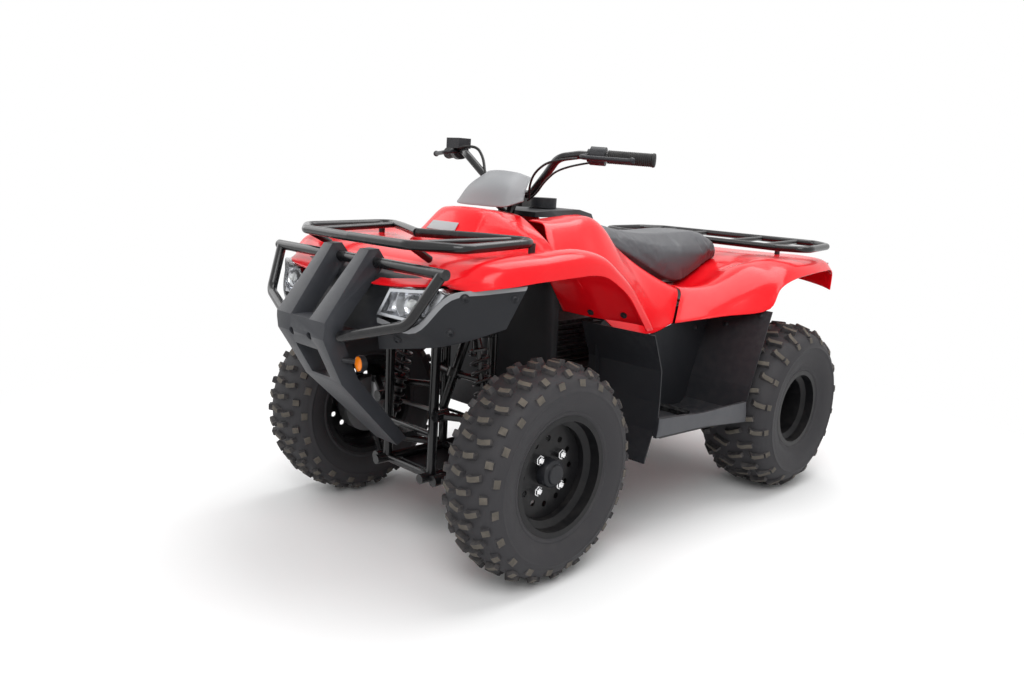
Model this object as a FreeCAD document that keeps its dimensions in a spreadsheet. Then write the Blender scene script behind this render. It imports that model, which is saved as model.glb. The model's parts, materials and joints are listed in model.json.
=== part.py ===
"""Quad bike: a two-wheel-drive utility machine on four low-pressure tyres.

The frame of the model has +Z up and the front toward -Y, so the rider's left side is +X.
Its origin is on the floor, under the middle of the machine. All sizes are millimetres.
"""
import FreeCAD, Part

import math
import os

import Sketcher

V = FreeCAD.Vector
UP = V(0, 0, 1)
LEFT = V(1, 0, 0)
REARWARD = V(0, 1, 0)
CENTRE = V(0, 0, 0)

# Driving sizes, one row of the sheet each
DRIVING_SIZES = [
    # Stance
    ("wheelbase", 1131),
    ("front_axle_place", -513),
    ("half_track", 390),
    ("kingpin_place", 290),
    # Front tyre and rim
    ("tyre_radius", 275),
    ("front_tyre_width", 178),
    ("front_lip_radius", 152),
    ("front_rim_width", 144),
    ("front_disc_offset", 15),
    # Rear tyre and rim
    ("rear_tyre_width", 254),
    ("rear_lip_radius", 127),
    ("rear_rim_width", 202),
    ("rear_disc_offset", -8),
    ("rim_sheet", 3.5),
    ("seat_clearance", 0.3),
    # Hubs and brakes
    ("hub_bore", 32),
    ("stud_circle", 110),
    ("stud_radius", 6),
    ("nut_radius", 10),
    ("drum_radius", 84),
    ("spindle_radius", 12),
    # Steering
    ("column_lean", 22),
    ("column_radius", 13),
    ("column_top", 918),
    ("column_top_place", -265),
    ("pitman_height", 337),
    ("pitman_reach", 58),
    ("pitman_spread", 18),
    ("rod_radius", 6),
    ("rod_end_radius", 9),
    ("link_height", 291),
    # Suspension
    ("arm_pivot_side", 123.3),
    ("arm_pivot_spread", 100),
    ("lower_arm_height", 188),
    ("upper_arm_height", 362),
    ("arm_tube", 10),
    ("joint_radius", 16),
    ("shock_foot_side", 232),
    ("shock_foot_height", 212),
    ("shock_head_side", 134),
    ("shock_head_height", 566),
    ("spring_radius", 27),
    # Frame
    ("frame_tube", 13),
    ("rail_side", 95),
    ("rail_height", 190),
    ("upright_side", 125),
    ("head_side", 60),
    ("head_height", 735),
    # Rear suspension
    ("axle_radius", 15),
    ("axle_tube", 32),
    ("pivot_place", 352),
    ("pivot_height", 300),
    ("hitch_hole", 8),
    ("hitch_plate", 8),
    # Panels
    ("panel", 4),
    # Handlebar and racks
    ("bar_tube", 11),
    ("grip_radius", 17),
    ("grip_length", 118),
    ("rack_tube", 11.5),
    ("bumper_tube", 12.5),
]

doc = FreeCAD.newDocument("quad_bike")
sheet = doc.addObject("Spreadsheet::Sheet", "sizes")
for row, (name, value) in enumerate(DRIVING_SIZES, start=1):
    sheet.set(f"A{row}", name)
    sheet.set(f"B{row}", str(value))
    sheet.setAlias(f"B{row}", name)
doc.recompute()

NODES = []


def size(name):
    """The value of one driving size."""
    return float(sheet.get(name))


def keep(obj, label):
    """Mark an object as a sub-part and give it its label."""
    obj.Label = label
    NODES.append(obj)
    return obj


def feature(label, shape):
    """Sub-part whose form is worked out here from the sheet."""
    obj = doc.addObject("Part::Feature", label)
    obj.Shape = shape
    obj.Placement = FreeCAD.Placement()
    return keep(obj, label)


def mirrored(source, name):
    """The same piece on the right side of the machine."""
    obj = doc.addObject("Part::Mirroring", name)
    obj.Source = source
    obj.Base = CENTRE
    obj.Normal = LEFT
    return obj


def compound(label, members):
    """Sub-part of like pieces that stand apart."""
    obj = doc.addObject("Part::Compound", label)
    obj.Links = members
    return keep(obj, label)


def flip(shape):
    """A shape's mirror image across the middle plane."""
    return shape.mirror(CENTRE, LEFT)


def both(shape):
    """A shape and its mirror image, as one compound."""
    return Part.makeCompound([shape, flip(shape)])


def fused(shapes):
    """One solid out of pieces that overlap."""
    result = shapes[0].multiFuse(shapes[1:]) if len(shapes) > 1 else shapes[0]
    return result.removeSplitter()


def rod(start, end, radius):
    """Round bar between two points."""
    run = V(*end) - V(*start)
    return Part.makeCylinder(radius, run.Length, V(*start), run)


def block(low, high):
    """Box between two corners."""
    low, high = V(*low), V(*high)
    span = high - low
    return Part.makeBox(span.x, span.y, span.z, low)


def tube_path(points, bend):
    """Straight runs joined by tangent arcs, as one wire."""
    points = [V(*p) for p in points]
    edges = []
    start = points[0]
    for before, corner, after in zip(points, points[1:], points[2:]):
        into = (corner - before).normalize()
        out = (after - corner).normalize()
        turn = into.getAngle(out)
        cut = min(bend * math.tan(turn / 2), 0.45 * (corner - before).Length,
                  0.45 * (after - corner).Length)
        first = corner - into * cut
        last = corner + out * cut
        radius = cut / math.tan(turn / 2)
        towards = (out - into).normalize()
        centre = corner + towards * (radius / math.cos(turn / 2))
        middle = centre - towards * radius
        edges.append(Part.LineSegment(start, first).toShape())
        edges.append(Part.Arc(first, middle, last).toShape())
        start = last
    edges.append(Part.LineSegment(start, points[-1]).toShape())
    return Part.Wire(edges)


def tube(points, radius, bend=40):
    """Round tube along a path of straight runs and arcs."""
    path = tube_path(points, bend)
    heading = V(*points[1]) - V(*points[0])
    ring = Part.Wire(Part.Circle(V(*points[0]), heading, radius).toShape())
    return path.makePipeShell([ring], True, False)


def patch(a, b, c, d):
    """Ruled face through four corners."""
    return Part.makeRuledSurface(Part.LineSegment(a, b).toShape(), Part.LineSegment(d, c).toShape())


def skin(grid, thickness):
    """Moulded sheet through a grid of points, thick on the side away from its normals."""
    upper = [[V(*p) for p in line] for line in grid]
    last_row, last_column = len(upper) - 1, len(upper[0]) - 1

    def normal(i, j):
        along = upper[min(i + 1, last_row)][j] - upper[max(i - 1, 0)][j]
        across = upper[i][min(j + 1, last_column)] - upper[i][max(j - 1, 0)]
        way = across.cross(along)
        if abs(upper[i][j].x) < 1e-6:
            way.x = 0
        return way.normalize()

    lower = [[upper[i][j] - normal(i, j) * thickness for j in range(last_column + 1)]
             for i in range(last_row + 1)]
    faces = []
    for i in range(last_row):
        for j in range(last_column):
            for side in (upper, lower):
                faces.append(patch(side[i][j], side[i][j + 1], side[i + 1][j + 1], side[i + 1][j]))
    for i in range(last_row):
        for j in (0, last_column):
            faces.append(patch(upper[i][j], upper[i + 1][j], lower[i + 1][j], lower[i][j]))
    for j in range(last_column):
        for i in (0, last_row):
            faces.append(patch(upper[i][j], upper[i][j + 1], lower[i][j + 1], lower[i][j]))
    shell = Part.makeShell(faces)
    shell.sewShape()
    solid = Part.makeSolid(Part.Shell(shell.Faces) if shell.ShapeType != "Shell" else shell)
    if solid.Volume < 0:
        solid.reverse()
    return solid


def loft(sections, ruled=False):
    """Solid through closed outlines."""
    wires = [Part.makePolygon([V(*p) for p in line] + [V(*line[0])]) for line in sections]
    return Part.makeLoft(wires, True, ruled)


def plate(outline, travel):
    """Flat outline pushed along a vector."""
    face = Part.Face(Part.makePolygon([V(*p) for p in outline] + [V(*outline[0])]))
    return face.extrude(V(*travel))


def revolved_body(name, profile, side, place, height):
    """Body of revolution about an axle, from (offset, radius) pairs of expressions."""
    body = doc.addObject("PartDesign::Body", name)
    sketch = body.newObject("Sketcher::SketchObject", name + "_profile")
    plane = [f for f in body.Origin.OriginFeatures if f.Role == "XY_Plane"][0]
    sketch.AttachmentSupport = [(plane, "")]
    sketch.MapMode = "FlatFace"
    sheet_value = lambda text: float(sketch.evalExpression(text))
    points = [V(sheet_value(u), sheet_value(r), 0) for u, r in profile]
    for start, end in zip(points, points[1:] + points[:1]):
        sketch.addGeometry(Part.LineSegment(start, end), False)
    count = len(points)
    for i in range(count):
        sketch.addConstraint(Sketcher.Constraint("Coincident", i, 2, (i + 1) % count, 1))
    for i, (u, r) in enumerate(profile):
        for kind, text, value in (("DistanceX", u, points[i].x), ("DistanceY", r, points[i].y)):
            index = sketch.addConstraint(Sketcher.Constraint(kind, -1, 1, i, 1, value))
            sketch.setExpression(f"Constraints[{index}]", text)
    doc.recompute()
    turned = body.newObject("PartDesign::Revolution", name + "_turned")
    turned.Profile = sketch
    turned.ReferenceAxis = (sketch, ["H_Axis"])
    turned.Angle = 360
    body.setExpression(".Placement.Base.x", side)
    body.setExpression(".Placement.Base.y", place)
    body.setExpression(".Placement.Base.z", height)
    return body


# Places that follow from the driving sizes
FRONT = size("front_axle_place")
REAR = FRONT + size("wheelbase")
WHEEL = size("tyre_radius")
TRACK = size("half_track")
KINGPIN = size("kingpin_place")
GAP = size("seat_clearance")
LEAN = math.radians(size("column_lean"))
COLUMN = V(0, math.sin(LEAN), math.cos(LEAN))
FRONT_PLACE = "sizes.front_axle_place"
REAR_PLACE = "sizes.front_axle_place + sizes.wheelbase"


def column_point(height):
    """Point of the steering axis at one height."""
    drop = size("column_top") - height
    return V(0, size("column_top_place") - drop * math.tan(LEAN), height)


# Wheels

def rim_profile(width, lip, disc):
    """Stepped barrel with lips, and a disc with a centre hole."""
    half, t = f"{width} / 2", "sizes.rim_sheet"
    seat = f"{lip} - 11"
    well = f"{lip} - 29"
    return [
        (f"-{half}", lip), (f"-{half} + 4", lip), (f"-{half} + 4", seat), (f"-{half} + 28", f"{seat} - 2"),
        (f"-{half} + 38", well), (f"{half} - 38", well), (f"{half} - 28", f"{seat} - 2"),
        (f"{half} - 4", seat), (f"{half} - 4", lip), (half, lip),
        (f"{half} - 0.5", f"{seat} - {t}"), (f"{half} - 27", f"{seat} - 2 - {t}"),
        (f"{half} - 37", f"{well} - {t}"), (f"{disc} + {t}", f"{well} - {t}"),
        (f"{disc} + {t}", "sizes.hub_bore"), (disc, "sizes.hub_bore"), (disc, f"{well} - {t}"),
        (f"-{half} + 37", f"{well} - {t}"), (f"-{half} + 27", f"{seat} - 2 - {t}"),
        (f"-{half} + 0.5", f"{seat} - {t}"),
    ]


def tyre_profile(width, rim_width, lip):
    """Rounded low-pressure tyre, out to the tips of its lugs."""
    half, rim = f"{width} / 2", f"{rim_width} / 2"
    tip, gap = "sizes.tyre_radius", "sizes.seat_clearance"
    side = [
        (f"{rim} - 4 - {gap}", f"{lip} - 11 + {gap}"), (f"{rim} - 4 - {gap}", f"{lip} + 1"),
        (f"{rim} + 2", f"{lip} + 5"), (f"{half} - 4", f"{lip} + ({tip} - {lip}) * 0.22"),
        (half, f"{lip} + ({tip} - {lip}) * 0.45"), (f"{half} - 6", f"{lip} + ({tip} - {lip}) * 0.68"),
        (f"{half} * 0.78", f"{lip} + ({tip} - {lip}) * 0.87"), (f"{half} * 0.45", f"{tip} - 4"),
    ]
    crown = [("0 * sizes.tyre_radius", tip)]
    return side + crown + [(f"-({u})", r) for u, r in reversed(side)]


def wheel_pair(end, place):
    """Left tyre and rim of one axle."""
    width, rim = f"sizes.{end}_tyre_width", f"sizes.{end}_rim_width"
    lip, disc = f"sizes.{end}_lip_radius", f"sizes.{end}_disc_offset"
    tyre = revolved_body(end + "_tyre", tyre_profile(width, rim, lip), "sizes.half_track", place,
                         "sizes.tyre_radius")
    barrel = revolved_body(end + "_rim", rim_profile(rim, lip, disc), "sizes.half_track", place,
                           "sizes.tyre_radius")
    doc.recompute()
    return tyre, barrel


def bolt_ring(x_from, x_to, radius, place):
    """Round bars on the stud circle, along an axle."""
    reach = size("stud_circle") / 2
    bars = []
    for turn in range(4):
        angle = math.radians(45 + 90 * turn)
        y, z = place + reach * math.cos(angle), WHEEL + reach * math.sin(angle)
        bars.append(rod((x_from, y, z), (x_to, y, z), radius))
    return bars


def drilled_rim(label, source, disc, place, vents, vent_circle, vent_radius):
    """Rim with its stud holes and its ring of vent holes."""
    face = TRACK + size(disc)
    tools = bolt_ring(face - 5, face + size("rim_sheet") + 5, size("stud_radius") + 0.5, place)
    for step in range(vents):
        angle = 2 * math.pi * step / vents
        y, z = place + vent_circle * math.cos(angle), WHEEL + vent_circle * math.sin(angle)
        tools.append(rod((face - 5, y, z), (face + size("rim_sheet") + 5, y, z), vent_radius))
    holes = doc.addObject("Part::Feature", label + "_holes")
    holes.Shape = Part.makeCompound(tools)
    drilled = doc.addObject("Part::Cut", label)
    drilled.Base = source
    drilled.Tool = holes
    return drilled


def hub_shape(disc, place, inner, drum_from, drum_to, cap_reach):
    """Hub with its drum, flange, studs, nuts and the cap through the disc."""
    face = TRACK + size(disc)
    front = face + size("rim_sheet")
    centre = lambda x: (x, place, WHEEL)
    pieces = [
        rod(centre(inner), centre(face - GAP), 34),
        rod(centre(face - 9), centre(face - GAP), 66),
        rod(centre(face - 9), centre(front + cap_reach), size("hub_bore") - GAP),
    ]
    if drum_to > drum_from:
        pieces.append(rod(centre(drum_from), centre(drum_to), size("drum_radius")))
    pieces += bolt_ring(face - 9, front + 16, size("stud_radius"), place)
    pieces += bolt_ring(front + GAP, front + 11, size("nut_radius"), place)
    return fused(pieces)


front_tyre, front_rim = wheel_pair("front", FRONT_PLACE)
rear_tyre, rear_rim = wheel_pair("rear", REAR_PLACE)
keep(front_tyre, "front_tyre_left")
keep(mirrored(front_tyre, "front_tyre_mirror"), "front_tyre_right")
front_drilled = keep(drilled_rim("front_drilled", front_rim, "front_disc_offset", FRONT, 12, 84, 8),
                     "front_rim_left")
keep(mirrored(front_drilled, "front_rim_mirror"), "front_rim_right")
compound("rear_tyres", [rear_tyre, mirrored(rear_tyre, "rear_tyre_mirror")])
rear_drilled = drilled_rim("rear_drilled", rear_rim, "rear_disc_offset", REAR, 0, 0, 0)
compound("rear_rims", [rear_drilled, mirrored(rear_drilled, "rear_rim_mirror")])

front_hub = hub_shape("front_disc_offset", FRONT, 330, 330, 364, 22)
front_hub = front_hub.cut(rod((320, FRONT, WHEEL), (396, FRONT, WHEEL), size("spindle_radius") + GAP))
feature("front_hub_left", front_hub)
feature("front_hub_right", flip(front_hub))

rear_hub = hub_shape("rear_disc_offset", REAR, 330, 0, 0, 26)
axle = rod((-350, REAR, WHEEL), (350, REAR, WHEEL), size("axle_radius"))
drum = rod((-300, REAR, WHEEL), (-240, REAR, WHEEL), 78)
feature("rear_axle", fused([axle, rear_hub, flip(rear_hub), drum]))

# Knuckles and tie rods
LOWER = size("lower_arm_height")
UPPER = size("upper_arm_height")
LINK = size("link_height")
EYE_HALF = 7
ARM_TIP = V(KINGPIN + size("pitman_spread"), FRONT + size("pitman_reach"), LINK)


def knuckle_shape():
    """Upright with its spindle, brake plate and steering arm."""
    half_joint = 10
    low, high = LOWER + half_joint + GAP, UPPER - half_joint - GAP
    arm_top = LINK + 15
    arm = [(KINGPIN - 12, FRONT, LINK + EYE_HALF + GAP), (KINGPIN + 14, FRONT, LINK + EYE_HALF + GAP),
           (ARM_TIP.x + 11, ARM_TIP.y, LINK + EYE_HALF + GAP), (ARM_TIP.x, ARM_TIP.y + 11, LINK + EYE_HALF + GAP),
           (ARM_TIP.x - 11, ARM_TIP.y, LINK + EYE_HALF + GAP)]
    pieces = [
        rod((KINGPIN, FRONT, low), (KINGPIN, FRONT, high), 15),
        rod((KINGPIN, FRONT, WHEEL), (322, FRONT, WHEEL), 24),
        rod((KINGPIN, FRONT, WHEEL), (392, FRONT, WHEEL), size("spindle_radius")),
        rod((321, FRONT, WHEEL), (328, FRONT, WHEEL), size("drum_radius")),
        plate(arm, (0, 0, arm_top - LINK - EYE_HALF - GAP)),
        rod((ARM_TIP.x, ARM_TIP.y, LINK - EYE_HALF - 3), (ARM_TIP.x, ARM_TIP.y, arm_top), 5),
    ]
    return fused(pieces)


pitman_centre = column_point(size("pitman_height"))
PITMAN_DEPTH = 8
reach_along = size("pitman_reach") / math.cos(LEAN)
pitman_tip = pitman_centre + V(0, math.cos(LEAN), -math.sin(LEAN)) * reach_along
rod_end = pitman_tip - COLUMN * (PITMAN_DEPTH / 2 + 1.6 + size("rod_end_radius"))
rod_end.x = size("pitman_spread")


def tie_rod_shape():
    """Rod from the knuckle's arm to just under the arm of the column."""
    eye = rod((ARM_TIP.x, ARM_TIP.y, LINK - EYE_HALF), (ARM_TIP.x, ARM_TIP.y, LINK + EYE_HALF), 11)
    ball = Part.makeSphere(size("rod_end_radius"), rod_end)
    bar = rod(ARM_TIP, rod_end, size("rod_radius"))
    pin = rod((ARM_TIP.x, ARM_TIP.y, LINK - 20), (ARM_TIP.x, ARM_TIP.y, LINK + 20), 5 + GAP)
    return fused([eye, ball, bar]).cut(pin)


knuckle = knuckle_shape()
feature("knuckle_left", knuckle)
feature("knuckle_right", flip(knuckle))
tie_rod = tie_rod_shape()
feature("tie_rod_left", tie_rod)
feature("tie_rod_right", flip(tie_rod))


# Suspension arms and shocks

def arm_shape(height):
    """A-shaped arm from two frame pivots to its ball joint."""
    side, spread = size("arm_pivot_side"), size("arm_pivot_spread")
    pieces = [rod((KINGPIN, FRONT, height - 10), (KINGPIN, FRONT, height + 10), size("joint_radius"))]
    for way in (-1, 1):
        y = FRONT + way * spread
        pieces.append(rod((side, y - 20, height), (side, y + 20, height), 15))
        pieces.append(rod((side, y, height), (KINGPIN, FRONT, height), size("arm_tube")))
    return fused(pieces)


def shock_shape(foot, head, radius):
    """Damper inside its spring, with an eye at each end."""
    foot, head = V(*foot), V(*head)
    run = (head - foot).normalize()
    long = (head - foot).Length
    return fused([
        Part.makeCylinder(11, long, foot, run),
        Part.makeCylinder(radius, long * 0.62, foot + run * (long * 0.27), run),
        Part.makeCylinder(14, 24, foot - REARWARD * 12, REARWARD),
        Part.makeCylinder(14, 24, head - REARWARD * 12, REARWARD),
    ])


lower_arm = arm_shape(LOWER)
brace_side = size("shock_foot_side")
brace = rod((brace_side, FRONT - 27, LOWER + 4), (brace_side, FRONT + 27, LOWER + 4), 8)
feature("lower_arms", both(fused([lower_arm, brace])))
feature("upper_arms", both(arm_shape(UPPER)))
shock = shock_shape((brace_side, FRONT, LOWER + 4 + 8 + 14 + GAP),
                    (size("shock_head_side"), FRONT, size("shock_head_height")), size("spring_radius"))
feature("front_shocks", both(shock))

# Frame
RAIL, TUBE = size("rail_side"), size("frame_tube")
RAIL_LOW = size("rail_height")
HEAD, HEAD_HIGH = size("head_side"), size("head_height")
UPRIGHT = size("upright_side")
SPREAD = size("arm_pivot_spread")
PIVOT, PIVOT_HIGH = size("pivot_place"), size("pivot_height")
head_place = column_point(HEAD_HIGH).y - 20
PIVOT_BOSS = 12


def frame_side():
    """Left half of the tube frame."""
    nose = FRONT - SPREAD
    return [
        tube([(RAIL, nose - 40, RAIL_LOW), (RAIL, 230, RAIL_LOW), (UPRIGHT, PIVOT - 5, PIVOT_HIGH),
              (UPRIGHT, 430, 590)], TUBE, 60),
        tube([(RAIL, nose, RAIL_LOW), (RAIL, nose, 600), (HEAD, head_place, HEAD_HIGH),
              (115, -120, 640), (UPRIGHT, 100, 585), (UPRIGHT, 520, 590), (UPRIGHT, 860, 690)], TUBE, 50),
        tube([(RAIL, FRONT + SPREAD, RAIL_LOW), (RAIL, FRONT + SPREAD, 560),
              (HEAD + 6, head_place + 20, HEAD_HIGH)], TUBE, 40),
        rod((RAIL, FRONT, size("shock_head_height")), (RAIL, nose, 560), TUBE),
        rod((RAIL, FRONT, size("shock_head_height")), (RAIL, FRONT + SPREAD, 555), TUBE),
    ]


nose_place = FRONT - SPREAD


def frame_shape():
    """Tube frame with its cross members and the two rings that guide the column."""
    left = frame_side()
    pieces = left + [flip(piece) for piece in left]
    for y, z, half in ((FRONT - SPREAD, RAIL_LOW, RAIL), (FRONT + SPREAD, RAIL_LOW, RAIL),
                       (0, RAIL_LOW, RAIL), (230, RAIL_LOW, RAIL), (430, 590, UPRIGHT),
                       (780, 665, UPRIGHT)):
        pieces.append(rod((-half, y, z), (half, y, z), TUBE - 2))
    for way in (-1, 1):
        pieces.append(rod((way * 100, FRONT, size("shock_head_height")), (way * 100, FRONT, 787.3), 8))
        pieces.append(rod((way * UPRIGHT, 800, 668), (way * UPRIGHT, 800, 747), 8))
    pieces.append(rod((-RAIL, nose_place, 300), (RAIL, nose_place, 300), TUBE - 3))
    pieces.append(block((-30, -661.7, 286), (30, nose_place, 300)))
    for way in (-1, 1):
        pieces.append(rod((way * (UPRIGHT - TUBE - PIVOT_BOSS), PIVOT, PIVOT_HIGH), (way * UPRIGHT, PIVOT, PIVOT_HIGH), 20))
    head_end = size("shock_head_side") - 14 - GAP
    pieces.append(rod((-head_end, FRONT, size("shock_head_height")),
                      (head_end, FRONT, size("shock_head_height")), TUBE))
    for height, half in ((HEAD_HIGH, HEAD), (430, RAIL)):
        middle = column_point(height)
        pieces.append(Part.makeCylinder(22, 26, middle - COLUMN * 13, COLUMN))
        for way in (-1, 1):
            pieces.append(rod((way * 15, middle.y, height), (way * half, middle.y + 8, height), 9))
    lower_ring = column_point(430)
    for way in (-1, 1):
        pieces.append(rod((way * RAIL, lower_ring.y + 8, 430), (way * RAIL, FRONT + SPREAD, 430), 9))
    body = fused(pieces)
    bore = Part.makeCylinder(size("column_radius") + GAP, 700, column_point(300), COLUMN)
    return body.cut(bore)


feature("main_frame", frame_shape())

engine_floor = RAIL_LOW + TUBE + GAP
feature("engine", fused([
    block((-150, -190, engine_floor), (145, 190, 430)),
    block((-70, -150, 429), (70, 40, 560)),
    rod((-60, -55, 330), (60, -55, 330), 90),
]))
feature("skid_plate", fused([
    block((-112, -560, RAIL_LOW - TUBE - GAP - 4), (112, 220, RAIL_LOW - TUBE - GAP)),
]))

# Rear suspension and final drive


def swingarm_shape():
    """Axle housing with its two arms, pivot tube and hitch plate."""
    tube_radius = size("axle_tube")
    pieces = [rod((-215, REAR, WHEEL), (215, REAR, WHEEL), tube_radius)]
    inner = UPRIGHT - TUBE - PIVOT_BOSS - GAP
    pieces.append(rod((-inner, PIVOT, PIVOT_HIGH), (inner, PIVOT, PIVOT_HIGH), 17))
    for x in (-80, 80):
        pieces.append(rod((x, REAR, WHEEL), (x, PIVOT, PIVOT_HIGH), 17))
    half = size("hitch_plate") / 2
    pieces.append(block((-38, REAR + 20, WHEEL - half), (38, REAR + 110, WHEEL + half)))
    pieces.append(block((-20, REAR - 60, WHEEL + 10), (20, REAR - 10, WHEEL + 44)))
    body = fused(pieces)
    hitch = rod((0, REAR + 90, WHEEL - 20), (0, REAR + 90, WHEEL + 20), size("hitch_hole"))
    bore = rod((-230, REAR, WHEEL), (230, REAR, WHEEL), size("axle_radius") + GAP)
    return body.cut(bore).cut(hitch)


feature("swingarm", swingarm_shape())
case = rod((105, REAR, WHEEL), (165, REAR, WHEEL), 78)
case = case.cut(rod((90, REAR, WHEEL), (190, REAR, WHEEL), size("axle_tube") + GAP))
feature("final_drive", case)
feature("rear_shock", shock_shape((0, REAR - 38, WHEEL + 44 + 14 + GAP), (0, 430, 590 - 11 - 14 - GAP), 30))

# Exhaust
feature("exhaust_pipe", tube([(-40, -150 - GAP, 500), (-40, -215, 500), (-165, -215, 480), (-175, 60, 470),
                              (-185, 330, 528.5), (-185, 519.7, 540)], 19, 60))
feature("muffler", fused([rod((-185, 520, 540), (-185, 850, 560), 56), rod((-185, 850, 560), (-185, 880, 562), 18)]))


# Steering column and handlebar

def column_shape():
    """Leaning column with its clamp and its arm for the tie rods."""
    top = column_point(size("column_top") - 14)
    length = (top - pitman_centre).Length + 4
    shaft = Part.makeCylinder(size("column_radius"), length, pitman_centre - COLUMN * 4, COLUMN)
    back = V(0, math.cos(LEAN), -math.sin(LEAN))
    low = pitman_centre - COLUMN * (PITMAN_DEPTH / 2)
    spread = size("pitman_spread")
    corners = [low - back * 18 + LEFT * 14, low + LEFT * 20, low + back * reach_along + LEFT * (spread + 11),
               low + back * (reach_along + 11) + LEFT * spread]
    outline = corners + [V(-p.x, p.y, p.z) for p in reversed(corners)]
    arm = plate(outline, COLUMN * PITMAN_DEPTH)
    saddle = block((-48, size("column_top_place") - 18, 893), (48, size("column_top_place") + 18, 924))
    stay = rod((0, -289, 868), (0, -384.1, 925.1), 7)
    return fused([shaft, arm, saddle, stay])


BAR = [(400, -172, 1035), (230, -262, 1040), (180, -292, 1030), (130, -280, 985), (62, -265, 928),
       (0, -265, 928)]


def bar_shape():
    """Bent handlebar tube, from grip to grip."""
    right = [(-x, y, z) for x, y, z in reversed(BAR[:-1])]
    return tube(BAR[:-1] + right, size("bar_tube"), 45)


def along_bar(start, end):
    """Points of the left grip's straight, as distances from its outer end."""
    outer, inner = V(*BAR[0]), V(*BAR[1])
    run = (inner - outer).normalize()
    return outer + run * start, outer + run * end


def sleeve(start, end, radius, clearance):
    """Hollow sleeve round the grip's straight."""
    first, last = along_bar(start, end)
    ring = rod(first, last, radius)
    low, high = along_bar(0, end + 5)
    return ring.cut(rod(low, high, size("bar_tube") + clearance))


column = column_shape()
handlebar = bar_shape()
clearance_tool = rod((-80, -265, 928), (80, -265, 928), size("bar_tube") + GAP)
feature("steering_column", column.cut(clearance_tool))
feature("handlebar", handlebar)
grip = sleeve(-5, size("grip_length"), size("grip_radius"), GAP)
feature("hand_grips", both(grip))


def controls(side):
    """Switch box, lever bracket and lever of one side; the right one carries the reservoir."""
    box_from, box_to = size("grip_length") + 6, size("grip_length") + 46
    first, last = along_bar(box_from, box_to)
    body = fused([rod(first, last, 24), rod(*along_bar(box_to - 1, box_to + 8), 17)])
    perch, _ = along_bar(box_to - 4, box_to)
    outer, _ = along_bar(20, 0)
    forward = V(0, -62, -6)
    lever = tube([perch + V(0, -10, 0), perch + forward, outer + forward + V(0, 4, 0)], 6, 18)
    knob = Part.makeSphere(9, outer + forward + V(0, 4, 0))
    pieces = [body, lever, knob]
    if side < 0:
        top = 1077
        pieces.append(block((perch.x - 28, perch.y - 34, perch.z + 8), (perch.x + 28, perch.y + 14, top)))
    shape = fused(pieces)
    low, high = along_bar(0, box_to + 40)
    shape = shape.cut(rod(low, high, size("bar_tube") + GAP))
    return shape if side > 0 else flip(shape)


feature("left_controls", controls(1))
feature("right_controls", controls(-1))

# Panels, from (x, y, z) corners of the left half
PANEL = size("panel")


def halves(grid, thickness=PANEL):
    """Left sheet and its mirror image, joined where they meet in the middle."""
    left = skin(grid, thickness)
    return left.fuse(flip(left)).removeSplitter()


cover_rows = [
    [(0, -410, 893), (60, -406, 893), (100, -396, 896), (118, -350, 912)],
    [(0, -375, 948), (50, -371, 946), (84, -360, 942), (102, -322, 940)],
    [(0, -325, 990), (40, -322, 988), (68, -312, 984), (84, -290, 975)],
]
feature("bar_cover", halves(cover_rows))

fender_rows = [
    [(0, -768, 724), (200, -786, 727), (322, -782, 738), (343, -778, 734), (349, -782, 727)],
    [(0, -752, 758), (200, -764, 760), (330, -752, 764), (372, -742, 758), (384, -748, 730)],
    [(0, -700, 778), (200, -690, 780), (345, -680, 784), (402, -682, 778), (415, -690, 735)],
    [(0, -640, 786), (200, -640, 787), (340, -640, 790), (418, -630, 789), (435, -635, 745)],
    [(0, -570, 792), (200, -546, 791), (340, -546, 793), (425, -546, 797), (441, -546, 752)],
    [(100, -430, 792), (200, -430, 791), (340, -430, 795), (430, -430, 803), (446, -430, 757)],
    [(120, -362, 790), (205, -362, 788), (340, -356, 792), (430, -355, 786), (446, -366, 747)],
    [(262.7, -335, 758), (285, -330, 757), (345, -300, 760), (435, -262, 735), (445, -301, 707)],
    [(262.7, -240, 690), (285, -236, 690), (345, -215, 690), (440, -190, 670), (441, -231, 651)],
    [(262.7, -192, 618), (285, -190, 610), (345, -170, 605), (442, -150, 600), (438, -188, 596)],
]
feature("front_fender", halves(fender_rows))

cowl_rows = [
    [(0, -566, 795.6), (70, -556, 795.6), (125, -525, 795.6), (152, -470, 795.6)],
    [(0, -520, 838), (60, -512, 836), (105, -490, 830), (154, -440, 812)],
    [(0, -470, 884), (60, -462, 882), (92, -445, 872), (155, -400, 834)],
    [(0, -395, 888), (70, -390, 883), (105, -380, 868), (165, -352, 840)],
    [(62, -345, 880), (80, -345, 876), (112, -340, 858), (172, -335, 846)],
]
feature("nose_cowl", halves(cowl_rows))

tank_rows = [
    [(118, -325, 862), (165, -318, 856), (205, -338, 815), (235, -330, 775), (262, -300, 745)],
    [(104, -205, 874), (160, -200, 862), (205, -200, 810), (235, -205, 745), (262, -180, 625)],
    [(104, -89, 878), (150, -89, 868), (195, -89, 800), (235, -89, 700), (262, -80, 560)],
    [(100, 8, 803.2), (140, 5, 803.2), (185, 30, 740), (230, 40, 645), (258, 40, 540)],
    [(100, 110, 738), (148, 110, 740), (185, 120, 690), (228, 115, 610), (252, 110, 535)],
    [(112, 296, 655), (155, 296, 658), (200, 290, 650), (228, 250, 600), (250, 207, 557)],
]
tank_left = skin(tank_rows, PANEL)
feature("tank_cover", both(tank_left))

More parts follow.
